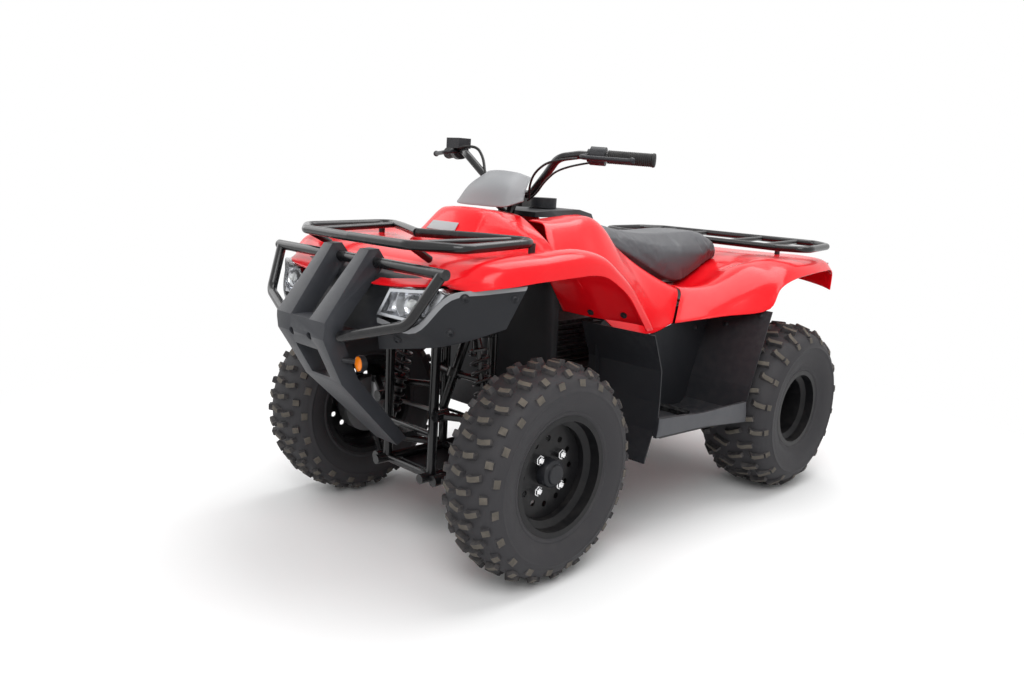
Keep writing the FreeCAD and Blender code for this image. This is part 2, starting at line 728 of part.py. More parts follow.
top_sections = [
    [(-75, -255, 866), (75, -255, 866), (75, -255, 880), (-75, -255, 880)],
    [(-103.5, -205, 868), (103.5, -205, 868), (92, -205, 886), (-92, -205, 886)],
    [(-103.5, -89, 868), (103.5, -89, 868), (94, -89, 890), (-94, -89, 890)],
    [(-94, -25, 864), (94, -25, 864), (86, -25, 878), (-86, -25, 878)],
]
feature("tank_top", loft(top_sections, True))
feature("fuel_cap", rod((0, -150, 889.7), (0, -150, 918), 42))

rear_rows = [
    [(112, 304, 655), (158, 304, 660), (203, 300, 650), (231, 258, 600), (253, 215, 557)],
    [(112, 392, 640), (165, 390, 648), (270, 370, 672), (335, 345, 630), (352, 320, 585)],
    [(112, 500, 676), (165, 500, 690), (320, 475, 738), (415, 450, 690), (452, 432, 616)],
    [(112, 590, 708), (160, 600, 725), (345, 585, 752), (432, 570, 730), (456, 565, 697)],
    [(0, 690, 745), (160, 700, 750), (345, 700, 756), (428, 700, 738), (452, 700, 710)],
    [(0, 800, 750), (160, 800, 752), (340, 800, 756), (415, 800, 742), (440, 800, 714)],
    [(0, 895, 750), (160, 895, 752), (325, 895, 754), (395, 890, 742), (425, 885, 716)],
    [(0, 915, 735), (160, 915, 735), (320, 915, 735), (390, 912, 722), (420, 905, 700)],
    [(0, 922, 690), (160, 922, 680), (320, 922, 660), (385, 918, 650), (418, 910, 642)],
]
feature("rear_fender", halves(rear_rows))

# Seat, from (y, top, ridge half width, ridge height, edge half width, edge height)
seat_stations = [
    (-8, 862, 72, 850, 88, 815), (60, 842, 92, 822, 118, 778), (139, 826, 108, 800, 134, 745),
    (256, 815, 124, 782, 142, 690), (378, 815, 134, 777, 146, 655), (450, 818, 138, 777, 146, 672),
    (518, 820, 138, 780, 141, 698), (600, 816, 128, 784, 128, 724), (650, 798, 110, 770, 112, 738),
]


def seat_section(station):
    """Closed outline across the seat."""
    y, top, ridge, ridge_z, edge, edge_z = station
    half = [(edge, y, edge_z), (edge, y, edge_z + 12), (ridge, y, ridge_z), (ridge * 0.55, y, top - 3)]
    return half + [(-x, y, z) for x, y, z in reversed(half)]


feature("seat", loft([seat_section(station) for station in seat_stations]))


def footwell_shape():
    """Mud flap, footboard and rear wall of one side, with the inner wall that joins them."""
    outer_line = [(-186, 590), (-142, 490), (-138, 400), (-142, 320), (-120, 300), (290, 284), (322, 306),
                  (345, 380), (430, 607.6)]
    thick = PANEL
    inner_line = [(y + (thick if y < 0 else -thick), z + (thick if -125 < y < 300 and z < 310 else 0))
                  for y, z in outer_line]
    outline = outer_line + list(reversed(inner_line))
    sheet_form = plate([(212, y, z) for y, z in outline], (251, 0, 0))
    flap = plate([(212, -142, 322), (212, -172, 235), (212, -168, 235), (212, -138, 322)], (241, 0, 0))
    wall = plate([(246, -160, 534), (246, -142, 320), (246, -120, 298), (246, 288, 284), (246, 322, 306),
                  (246, 345, 380), (246, 410, 553.6), (246, 210, 553.6), (246, 110, 531.6), (246, 40, 534)],
                 (PANEL, 0, 0))
    rail = plate([(458, -146, 306), (458, 84, 298), (458, 327, 272), (458, 318, 338), (458, 84, 340),
                  (458, -140, 362)], (10, 0, 0))
    return fused([sheet_form, flap, wall, rail])


footwell = footwell_shape()
feature("footwell_left", footwell)
feature("footwell_right", flip(footwell))
peg = block((254, 145, 294), (360, 178, 307))
feature("foot_pegs", both(peg))

# Front guard, racks and lamps


def guard_shape():
    """Two-pronged guard: its side view and its front view meet in one moulding."""
    side = plate([(-120, y, z) for y, z in (
        (-800, 792), (-828, 790), (-951.5, 628), (-951.5, 588), (-885, 470), (-690, 276), (-662, 292),
        (-840, 480), (-905, 600), (-900, 622), (-778, 760))], (240, 0, 0))
    front = plate([(x, -1000, z) for x, z in (
        (58, 795), (94, 795), (104, 615), (88, 540), (78, 470), (44, 270), (-44, 270), (-78, 470),
        (-88, 540), (-104, 615), (-94, 795), (-58, 795), (-40, 628), (40, 628))], (0, 400, 0))
    window = plate([(x, -1000, z) for x, z in ((-48, 556), (48, 556), (40, 482), (-40, 482))], (0, 400, 0))
    bores = [rod((x, -1000, 588), (x, -880, 588), 9) for x in (-38, 38)]
    bar = rod((-200, -806, 760), (200, -806, 760), size("bumper_tube") + GAP)
    return side.common(front).cut(window).cut(bores[0]).cut(bores[1]).cut(bar)


feature("bumper_guard", guard_shape())
bumper_tube = size("bumper_tube")
down = tube([(332, -806, 760), (288, -862, 645), (106, -912, 594)], bumper_tube, 40)
feature("bumper_tubes", fused([rod((-345, -806, 760), (345, -806, 760), bumper_tube), down, flip(down)]))

RACK = size("rack_tube")


def front_rack_shape():
    """Tube loop over the nose with inner bars and feet."""
    loop = tube([(0, -815, 812), (210, -808, 812), (322, -735, 812), (300, -470, 821), (160, -535, 822),
                 (0, -612, 820)], RACK, 40)
    inner = rod((190, -808, 812), (235, -502, 821), 8)
    foot = rod((215, -800, 810), (205, -738, 777), 9)
    rear_foot = rod((302, -500, 820), (302, -500, 794), 9)
    left = [loop, inner, foot, rear_foot]
    return fused(left + [flip(piece) for piece in left])


feature("front_rack", front_rack_shape())


def rear_rack_shape():
    """Tube loop behind the seat with three bars along it."""
    loop = tube([(0, 940, 797), (330, 940, 797), (402, 880, 795), (425, 690, 790), (330, 668, 788),
                 (0, 690, 788)], RACK, 40)
    bar = rod((120, 688, 789), (120, 938, 797), 8)
    second = rod((260, 675, 788), (260, 938, 797), 8)
    foot = rod((260, 800, 793), (260, 800, 754.7), 9)
    left = [loop, bar, second, foot]
    return fused(left + [flip(piece) for piece in left])


feature("rear_rack", rear_rack_shape())

lamp_front = plate([(190, -900, 714), (312, -900, 724), (330, -900, 714), (288, -900, 644),
                    (148 + GAP, -900, 648)], (0, 200, 0))
lamp_plan = plate([(148 + GAP, -842, 600), (270, -830, 600), (335, -792, 600), (335, -745, 600),
                   (148 + GAP, -780, 600)], (0, 0, 200))
feature("headlamps", both(lamp_front.common(lamp_plan)))
feature("grille_panel", plate([(-148, -838, 598), (148, -838, 598), (148, -806, 700), (-148, -806, 700)],
                              (0, 6, 0)))
trim_rows = [
    [(148 + 2 * GAP, -832, 564), (300, -765, 592), (352, -716, 613), (402, -672, 640)],
    [(148 + 2 * GAP, -842, 638), (290, -832, 634), (349, -782, 723), (430, -639, 739)],
]
feature("fender_trims", both(skin(trim_rows, PANEL)))
feature("reflectors", both(fused([rod((120, -862, 528), (122, -846, 528), 18),
                                  rod((92.5, -884, 532), (118, -856, 530), 6)])))
lamp_rear = block((330, 918.9, 690), (385, 944, 735))
feature("tail_lamps", both(lamp_rear))

doc.recompute()
problems = [obj.Label for obj in doc.Objects if "Invalid" in obj.State or "Error" in obj.State]
for node in NODES:
    if node.Shape.isNull() or not node.Shape.isValid() or node.Shape.Volume <= 0:
        problems.append(node.Label)
if problems:
    raise RuntimeError("failed pieces: " + ", ".join(problems))
os.makedirs("parts", exist_ok=True)
for node in NODES:
    node.Shape.exportStep(os.path.join("parts", node.Label + ".step"))
    print(node.Label, len(node.Shape.Solids), round(node.Shape.Volume / 1e6, 3))
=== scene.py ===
"""Looks of a red utility quad bike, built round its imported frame.

Lengths are metres, +Z is up, the front points toward -Y and the rider's left side is +X.
Each sub-assembly is a class that builds the forms that the frame leaves plain and gives them
their finishes. Each finish is a frozen dataclass that builds one material.
"""

import json
import logging
import math
from collections.abc import Callable, Iterable, Iterator
from contextlib import contextmanager
from dataclasses import dataclass, field
from enum import Enum

import bpy
from mathutils import Matrix, Vector

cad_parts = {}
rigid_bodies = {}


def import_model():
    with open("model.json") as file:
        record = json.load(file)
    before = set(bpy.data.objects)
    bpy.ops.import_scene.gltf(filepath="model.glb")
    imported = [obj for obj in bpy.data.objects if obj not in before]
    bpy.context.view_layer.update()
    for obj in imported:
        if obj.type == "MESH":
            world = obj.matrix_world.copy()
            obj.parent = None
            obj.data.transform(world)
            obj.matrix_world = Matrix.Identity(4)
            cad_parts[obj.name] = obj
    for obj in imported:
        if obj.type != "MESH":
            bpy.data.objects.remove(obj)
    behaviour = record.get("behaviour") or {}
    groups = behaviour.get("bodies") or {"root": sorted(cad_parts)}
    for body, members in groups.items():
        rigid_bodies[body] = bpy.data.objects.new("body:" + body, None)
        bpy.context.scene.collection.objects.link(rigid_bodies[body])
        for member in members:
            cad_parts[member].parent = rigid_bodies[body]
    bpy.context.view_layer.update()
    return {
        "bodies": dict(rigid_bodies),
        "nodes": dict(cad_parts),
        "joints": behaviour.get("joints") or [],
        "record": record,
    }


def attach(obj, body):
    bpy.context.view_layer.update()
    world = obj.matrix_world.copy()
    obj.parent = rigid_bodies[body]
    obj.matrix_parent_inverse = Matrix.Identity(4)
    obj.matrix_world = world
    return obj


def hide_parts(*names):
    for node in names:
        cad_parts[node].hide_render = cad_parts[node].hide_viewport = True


LOG = logging.getLogger("quad_bike")

Colour = tuple[float, float, float]
Point = tuple[float, float, float]
Span = tuple[float, float]
Profile = list[Span]
Thing = bpy.types.Object
Tree = bpy.types.NodeTree
Node = bpy.types.Node
Material = bpy.types.Material
Materials = dict[str, Material]

FRONT_AXLE, REAR_AXLE, WHEEL_RADIUS, HALF_TRACK = -0.513, 0.618, 0.275, 0.390
WELD, CAD_WELD = 0.00005, 0.0002  # how near points are merged, in new pieces and in CAD's
WHITE = (1.0, 1.0, 1.0, 1.0)
HEX_CORNERS = 1.155  # a hexagon's width across its corners, for one across its flats


class Detail(Enum):
    """Scale of a surface's fine grain, as its number of bumps to a metre."""

    MOULDED = 1400.0
    COARSE = 700.0


class Body(Enum):
    """The frame's bodies that new pieces ride on."""

    CHASSIS = "chassis"
    STEERING = "steering"
    LEFT_WHEEL = "left_front_wheel"
    RIGHT_WHEEL = "right_front_wheel"
    REAR_WHEELS = "rear_wheels"


# Modelling by hand, in code

def focus(piece: Thing) -> None:
    """Make a piece the only one selected, and active."""
    bpy.ops.object.select_all(action="DESELECT")
    piece.select_set(True)
    bpy.context.view_layer.objects.active = piece


@contextmanager
def editing(piece: Thing) -> Iterator[None]:
    """Open a piece in edit mode with all of it selected, and close it again."""
    focus(piece)
    bpy.ops.object.mode_set(mode="EDIT")
    bpy.ops.mesh.select_mode(type="FACE")
    bpy.ops.mesh.select_all(action="SELECT")
    yield
    bpy.ops.object.mode_set(mode="OBJECT")


def pick(piece: Thing, test: Callable[[Vector, Vector], bool]) -> None:
    """Select a piece's faces by a test, while it is open in edit mode.

    Args:
        piece: The piece that is being edited.
        test: Says of a face's middle and normal whether the face is wanted.
    """
    bpy.ops.mesh.select_all(action="DESELECT")
    bpy.ops.object.mode_set(mode="OBJECT")
    for face in piece.data.polygons:
        face.select = bool(test(face.center, face.normal))
    bpy.ops.object.mode_set(mode="EDIT")


def added(kind: str, name: str, **settings: object) -> Thing:
    """Add a primitive.

    Args:
        kind: Which primitive, as its operator names it.
        name: The piece's name.
        settings: The operator's own settings.

    Returns:
        The new object, alone selected.
    """
    bpy.ops.object.select_all(action="DESELECT")
    getattr(bpy.ops.mesh, f"primitive_{kind}_add")(**settings)
    piece = bpy.context.object
    piece.name = name
    return piece


def modified(piece: Thing, kind: str, **settings: object) -> Thing:
    """Add a modifier to a piece and apply it.

    Args:
        piece: The piece.
        kind: The modifier's type.
        settings: The modifier's properties.

    Returns:
        The same piece.
    """
    focus(piece)
    modifier = piece.modifiers.new(kind.lower(), kind)
    for key, value in settings.items():
        setattr(modifier, key, value)
    bpy.ops.object.modifier_apply(modifier=modifier.name)
    return piece


def placed(piece: Thing, matrix: Matrix) -> Thing:
    """Move a piece and apply its place to its mesh."""
    piece.matrix_world = matrix @ piece.matrix_world
    focus(piece)
    bpy.ops.object.transform_apply(location=True, rotation=True, scale=True)
    return piece


def merged(distance: float) -> None:
    """Merge all doubles of the piece in edit mode and turn its faces outwards."""
    bpy.ops.mesh.select_all(action="SELECT")
    bpy.ops.mesh.remove_doubles(threshold=distance)
    bpy.ops.mesh.select_all(action="SELECT")
    bpy.ops.mesh.normals_make_consistent(inside=False)


def extruded(move: Point) -> None:
    """Draw the selected faces of the piece in edit mode out by a move."""
    bpy.ops.mesh.extrude_region_move(TRANSFORM_OT_translate={"value": move})


def smoothed(piece: Thing, angle: float) -> Thing:
    """Shade a piece smooth, apart from edges sharper than an angle in degrees."""
    focus(piece)
    bpy.ops.object.shade_smooth_by_angle(angle=math.radians(angle))
    return piece


def tidied(piece: Thing, angle: float) -> Thing:
    """Merge a piece's doubles, turn its faces outwards and smooth it up to an angle."""
    with editing(piece):
        merged(WELD)
    return smoothed(piece, angle)


def rounded(piece: Thing, width: float, segments: int, angle: float = 30.0) -> Thing:
    """Round the edges of a piece that are sharper than an angle in degrees."""
    return modified(piece, "BEVEL", width=width, segments=segments, limit_method="ANGLE",
                    angle_limit=math.radians(angle))


def copied(piece: Thing, name: str, matrix: Matrix | None = None) -> Thing:
    """Copy a piece with a mesh of its own.

    Args:
        piece: The piece to copy.
        name: The copy's name.
        matrix: Where the copy goes, seen from its source.

    Returns:
        The copy.
    """
    focus(piece)
    bpy.ops.object.duplicate(linked=False)
    twin = bpy.context.object
    twin.name = name
    if matrix is not None:
        placed(twin, matrix)
    return twin


def joined(pieces: list[Thing], name: str) -> Thing:
    """Join pieces into one object."""
    bpy.ops.object.select_all(action="DESELECT")
    for piece in pieces:
        piece.select_set(True)
    bpy.context.view_layer.objects.active = pieces[0]
    if len(pieces) > 1:
        bpy.ops.object.join()
    whole = bpy.context.object
    whole.name = name
    return whole


def mirrored(piece: Thing, name: str) -> Thing:
    """Copy a piece to the other side of the machine, with its faces outwards again."""
    twin = copied(piece, name, Matrix.Scale(-1, 4, (1, 0, 0)))
    with editing(twin):
        bpy.ops.mesh.normals_make_consistent(inside=False)
    return twin


def paired(piece: Thing, name: str) -> Thing:
    """A piece and its mirror image as one object."""
    return joined([piece, mirrored(piece, name + "_right")], name)


def repeated(piece: Thing, name: str, places: Iterable[Matrix]) -> Thing:
    """Stand copies of a piece at some places, as one object that takes its place."""
    ring = [copied(piece, name, place) for place in places]
    bpy.data.objects.remove(piece)
    return joined(ring, name)


def along(start: Point, way: Point) -> Matrix:
    """Matrix that stands a piece drawn up the Z axis along a way from a start."""
    turn = Vector(way).to_track_quat("Z", "Y").to_matrix().to_4x4()
    return Matrix.Translation(start) @ turn


def turned(name: str, profile: Profile, sides: int, closed: bool = False,
           angle: float = 35.0) -> Thing:
    """Turn a body about the Z axis, ring by ring.

    Args:
        name: The piece's name.
        profile: Height and radius of each ring in turn.
        sides: Number of sides.
        closed: Whether the last ring joins the first one.
        angle: Edges sharper than this stay sharp.

    Returns:
        The turned piece, with end caps unless it is closed.
    """
    rings = profile + profile[:1] if closed else profile
    height, radius = rings[0]
    piece = added("circle", name, vertices=sides, radius=radius, location=(0, 0, height),
                  fill_type="NOTHING" if closed else "TRIFAN")
    focus(piece)
    bpy.ops.object.mode_set(mode="EDIT")
    bpy.ops.mesh.select_mode(type="EDGE")
    bpy.ops.mesh.select_all(action="DESELECT")
    bpy.ops.object.mode_set(mode="OBJECT")
    points = piece.data.vertices
    for edge in piece.data.edges:
        # Spokes of the end cap reach the middle; only the rim is drawn on.
        edge.select = min(points[i].co.xy.length for i in edge.vertices) > 0.5 * radius
    bpy.ops.object.mode_set(mode="EDIT")
    for (low, inner), (high, outer) in zip(rings, rings[1:]):
        bpy.ops.mesh.extrude_edges_move(TRANSFORM_OT_translate={"value": (0, 0, high - low)})
        share = outer / inner
        bpy.ops.transform.resize(value=(share, share, 1), center_override=(0, 0, 0))
    if not closed:
        bpy.ops.mesh.edge_face_add()
    bpy.ops.object.mode_set(mode="OBJECT")
    placed(piece, Matrix.Identity(4))
    return tidied(piece, angle)


# Shader groups that several finishes share

def add_node(tree: Tree, kind: str, **settings: object) -> Node:
    """Add a node to a tree.

    Args:
        tree: The tree.
        kind: The node's type.
        settings: Its properties; in_2, for one, is the default of its input number 2.

    Returns:
        The node.
    """
    node = tree.nodes.new(kind)
    for key, value in settings.items():
        if key.startswith("in_"):
            node.inputs[int(key[3:])].default_value = value
        else:
            setattr(node, key, value)
    return node


def wired(tree: Tree, *wires: tuple[Node, str | int, Node, str | int]) -> None:
    """Link nodes: each wire names a node, its output, the next node and its input."""
    for source, leaving, target, entering in wires:
        tree.links.new(source.outputs[leaving], target.inputs[entering])


def new_group(name: str, inputs: dict[str, float], outputs: dict[str, str]) -> Tree:
    """Make an empty shader group with named sockets.

    Args:
        name: The group's name.
        inputs: Default of each input, all of them plain numbers.
        outputs: Socket type of each output.

    Returns:
        The node tree, with its input and output nodes named "In" and "Out".
    """
    tree = bpy.data.node_groups.new(name, "ShaderNodeTree")
    for label, default in inputs.items():
        socket = tree.interface.new_socket(label, in_out="INPUT", socket_type="NodeSocketFloat")
        socket.default_value = default
    for label, kind in outputs.items():
        tree.interface.new_socket(label, in_out="OUTPUT", socket_type=kind)
    add_node(tree, "NodeGroupInput", name="In")
    add_node(tree, "NodeGroupOutput", name="Out")
    return tree


def grain_group() -> Tree:
    """Fine moulded grain with slow patches: a normal and a value that varies over the surface."""
    tree = new_group("surface_grain", {"Scale": 1400.0, "Depth": 0.2},
                     {"Patches": "NodeSocketFloat", "Normal": "NodeSocketVector"})
    entry, leave = tree.nodes["In"], tree.nodes["Out"]
    place = add_node(tree, "ShaderNodeTexCoord")
    noise = add_node(tree, "ShaderNodeTexNoise", in_3=2.0)
    patches = add_node(tree, "ShaderNodeTexNoise", in_2=9.0, in_3=4.0)
    bump = add_node(tree, "ShaderNodeBump", in_1=0.0005)
    wired(tree, (place, "Object", noise, "Vector"), (place, "Object", patches, "Vector"),
          (entry, "Scale", noise, "Scale"), (entry, "Depth", bump, "Strength"),
          (noise, "Fac", bump, "Height"), (patches, "Fac", leave, "Patches"),
          (bump, "Normal", leave, "Normal"))
    return tree


def mask_group(name: str, up: bool, span: Span, clumps: Span, scale: float,
               detail: float) -> Tree:
    """Mask of where something gathers in clumps, with its amount as the only input.

    Args:
        name: The group's name.
        up: Whether it gathers where faces look up, or else where the surface bends outwards.
        span: Measures of that at which it starts and is full.
        clumps: Values of the noise at which it starts and is full.
        scale: Scale of the noise.
        detail: Detail of the noise.

    Returns:
        The group.
    """
    tree = new_group(name, {"Amount": 0.3}, {"Mask": "NodeSocketFloat"})
    entry, leave = tree.nodes["In"], tree.nodes["Out"]
    shape = add_node(tree, "ShaderNodeNewGeometry")
    place = add_node(tree, "ShaderNodeTexCoord")
    noise = add_node(tree, "ShaderNodeTexNoise", in_2=scale, in_3=detail)
    measure = add_node(tree, "ShaderNodeMapRange", in_1=span[0], in_2=span[1])
    patchy = add_node(tree, "ShaderNodeMapRange", in_1=clumps[0], in_2=clumps[1])
    both = add_node(tree, "ShaderNodeMath", operation="MULTIPLY")
    scaled = add_node(tree, "ShaderNodeMath", operation="MULTIPLY", use_clamp=True)
    if up:
        split = add_node(tree, "ShaderNodeSeparateXYZ")
        wired(tree, (shape, "Normal", split, 0), (split, "Z", measure, "Value"))
    else:
        wired(tree, (shape, "Pointiness", measure, "Value"))
    wired(tree, (place, "Object", noise, "Vector"), (noise, "Fac", patchy, "Value"),
          (measure, "Result", both, 0), (patchy, "Result", both, 1), (both, "Value", scaled, 0),
          (entry, "Amount", scaled, 1), (scaled, "Value", leave, "Mask"))
    return tree


def new_material(name: str, sockets: dict[str, object]) -> tuple[Material, Node]:
    """Make a material.

    Args:
        name: Its name.
        sockets: Constants of its shader's own sockets.

    Returns:
        The material and its shader.
    """
    made = bpy.data.materials.new(name)
    made.use_nodes = True
    shader = made.node_tree.nodes["Principled BSDF"]
    for socket, value in sockets.items():
        shader.inputs[socket].default_value = value
    return made, shader


@dataclass
class Workshop:
    """The shader groups that the finishes share."""

    grain: Tree
    dust: Tree
    wear: Tree

    @staticmethod
    def opened() -> "Workshop":
        """Build each shared group once."""
        return Workshop(grain_group(),
                        mask_group("settled_dust", True, (-0.2, 1.0), (0.35, 0.7), 38.0, 6.0),
                        mask_group("edge_wear", False, (0.53, 0.62), (0.42, 0.62), 60.0, 5.0))


@dataclass(frozen=True)
class Finish:
    """A surface of one plain colour with grain, dust and worn edges.

    Attributes:
        name: The material's name.
        colour: Its main colour.
        rough: Its roughness.
        metal: 1 for bare metal, else 0.
        grain: Scale of its fine grain.
        depth: Strength of that grain.
        dust: How much dust it carries.
        dust_colour: The dust's colour.
        wear: How much its edges are rubbed.
        wear_colour: The colour that shows where it is rubbed.
        coat: Weight of a clear coat.
        vary: How far its roughness wanders in patches.
        shine: Strength of its plain highlights.
        coat_rough: Roughness of the clear coat.
    """

    name: str
    colour: Colour
    rough: float = 0.5
    metal: float = 0.0
    grain: Detail = Detail.MOULDED
    depth: float = 0.15
    dust: float = 0.15
    dust_colour: Colour = (0.32, 0.29, 0.26)
    wear: float = 0.25
    wear_colour: Colour = (0.2, 0.2, 0.2)
    coat: float = 0.0
    vary: float = 0.08
    shine: float = 0.3
    coat_rough: float = 0.06

    def material(self, shop: Workshop) -> Material:
        """Build the material.

        Args:
            shop: The shared groups.

        Returns:
            The finished material.
        """
        made, shader = new_material(self.name, {
            "Metallic": self.metal, "Coat Weight": self.coat, "Coat Roughness": self.coat_rough,
            "Specular IOR Level": self.shine})
        tree = made.node_tree
        grain = add_node(tree, "ShaderNodeGroup", node_tree=shop.grain, in_0=self.grain.value,
                         in_1=self.depth)
        dust = add_node(tree, "ShaderNodeGroup", node_tree=shop.dust, in_0=self.dust)
        wear = add_node(tree, "ShaderNodeGroup", node_tree=shop.wear, in_0=self.wear)
        rubbed, dusty = (add_node(tree, "ShaderNodeMix", data_type="RGBA",
                                  in_6=(*self.colour, 1.0), in_7=(*over, 1.0))
                         for over in (self.wear_colour, self.dust_colour))
        rough = add_node(tree, "ShaderNodeMapRange", in_3=self.rough - self.vary,
                         in_4=self.rough + self.vary)
        wired(tree, (wear, "Mask", rubbed, 0), (rubbed, 2, dusty, 6), (dust, "Mask", dusty, 0),
              (dusty, 2, shader, "Base Color"), (grain, "Patches", rough, "Value"),
              (rough, "Result", shader, "Roughness"), (grain, "Normal", shader, "Normal"))
        return made


@dataclass(frozen=True)
class Glass:
    """Clear or tinted moulded lens.

    Attributes:
        name: The material's name.
        colour: Its tint.
        rough: Its roughness.
        depth: Strength of its faint ripple.
        bend: How far it bends light.
    """

    name: str
    colour: Colour
    rough: float = 0.03
    depth: float = 0.02
    bend: float = 1.3

    def material(self, shop: Workshop) -> Material:
        """Build the material.

        Args:
            shop: The shared groups.

        Returns:
            The finished material.
        """
        made, shader = new_material(self.name, {
            "Base Color": (*self.colour, 1.0), "Roughness": self.rough,
            "Transmission Weight": 1.0, "IOR": self.bend})
        grain = add_node(made.node_tree, "ShaderNodeGroup", node_tree=shop.grain,
                         in_0=Detail.COARSE.value, in_1=self.depth)
        wired(made.node_tree, (grain, "Normal", shader, "Normal"))
        return made


FINISHES = (
    Finish("red_panel", (0.80, 0.003, 0.009), 0.24, grain=Detail.COARSE, depth=0.02,
           dust=0.02, wear=0.06, wear_colour=(0.85, 0.04, 0.04), coat=0.25, vary=0.04,
           shine=0.2),
    Finish("dark_plastic", (0.011, 0.012, 0.015), 0.48, depth=0.3, dust=0.05, wear=0.2,
           wear_colour=(0.06, 0.06, 0.065)),
    Finish("grey_plastic", (0.034, 0.036, 0.042), 0.42, depth=0.25, dust=0.05, wear=0.3,
           wear_colour=(0.12, 0.12, 0.13)),
    Finish("satin_grey", (0.24, 0.245, 0.255), 0.36, depth=0.15, dust=0.05, wear=0.1,
           wear_colour=(0.35, 0.35, 0.36)),
    Finish("rail_grey", (0.060, 0.062, 0.070), 0.42, depth=0.25, dust=0.15, wear=0.3,
           wear_colour=(0.13, 0.13, 0.14)),
    Finish("black_steel", (0.006, 0.006, 0.007), 0.26, grain=Detail.COARSE, depth=0.04,
           dust=0.03, wear=0.3, wear_colour=(0.08, 0.08, 0.08), coat=0.3),
    Finish("rim_paint", (0.008, 0.008, 0.009), 0.32, grain=Detail.COARSE, depth=0.04,
           dust=0.05, wear=0.1, wear_colour=(0.05, 0.05, 0.05), coat=0.05, shine=0.15),
    Finish("tyre", (0.030, 0.029, 0.032), 0.66, depth=0.35, dust=0.15,
           dust_colour=(0.10, 0.09, 0.08), wear=0.45, wear_colour=(0.10, 0.09, 0.085)),
    Finish("tread_face", (0.082, 0.073, 0.062), 0.8, depth=0.45, dust=0.4,
           dust_colour=(0.20, 0.17, 0.13), wear=0.6, wear_colour=(0.20, 0.175, 0.145)),
    Finish("seat_vinyl", (0.052, 0.054, 0.061), 0.42, depth=0.35, dust=0.05, wear=0.0,
           shine=0.5),
    Finish("engine_metal", (0.018, 0.018, 0.019), 0.45, depth=0.3, dust=0.2, wear=0.4,
           wear_colour=(0.16, 0.16, 0.16)),
    Finish("cast_metal", (0.3, 0.3, 0.31), 0.5, metal=0.9, depth=0.5, dust=0.2),
    Finish("red_lens", (0.45, 0.005, 0.005), 0.15, depth=0.0, dust=0.0, wear=0.0, shine=0.5),
    Finish("amber_lens", (0.90, 0.22, 0.005), 0.15, depth=0.0, dust=0.0, wear=0.0, shine=0.5),
    Finish("grip_rubber", (0.012, 0.012, 0.012), 0.65, depth=0.4, dust=0.05, wear=0.1),
    Finish("bright_steel", (0.5, 0.5, 0.5), 0.35, metal=0.9, depth=0.1, dust=0.2),
    Finish("chrome", (0.75, 0.75, 0.76), 0.14, metal=1.0, depth=0.02, dust=0.05, wear=0.0,
           vary=0.04),
    Finish("lamp_silver", (0.62, 0.63, 0.65), 0.2, metal=1.0, depth=0.03, dust=0.0, wear=0.0,
           vary=0.05),
    Finish("lamp_bulb", (0.85, 0.86, 0.84), 0.12, depth=0.0, dust=0.0, wear=0.0, shine=0.5),
    Finish("cable_sleeve", (0.009, 0.009, 0.009), 0.4, depth=0.1, dust=0.03, wear=0.1),
    Finish("spring_paint", (0.012, 0.012, 0.013), 0.3, depth=0.05, dust=0.1, wear=0.2,
           coat=0.2),
    Finish("plate_silver", (0.38, 0.39, 0.40), 0.4, depth=0.15, dust=0.05, wear=0.1,
           vary=0.05),
    Glass("lamp_lens", (0.97, 0.98, 1.0)),
)


@dataclass
class Assembly:
    """Base of the sub-assemblies: it paints their pieces and hands them over.

    Attributes:
        materials: The finished materials by name.
    """

    materials: Materials

    def painted(self, piece: Thing, *names: str) -> Thing:
        """Append materials to a piece, by their names in turn."""
        for name in names:
            piece.data.materials.append(self.materials[name])
        return piece

    def finished(self, piece: Thing, slot: str, look: str | None, *nodes: str,
                 body: Body = Body.CHASSIS) -> None:
        """Give a piece its finish and hand it to the body that it rides on.

        Args:
            piece: The finished form.
            slot: The record's material slot that it belongs to; not used.
            look: Its material's name, or None to leave the materials that it has.
            nodes: CAD nodes that it replaces.
            body: The body that it moves with.
        """
        placed(piece, Matrix.Identity(4))
        if look is not None:
            piece.data.materials.clear()
            self.painted(piece, look)
        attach(piece, body.value)
        if nodes:
            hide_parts(*nodes)
        LOG.info("%s: %d faces", piece.name, len(piece.data.polygons))


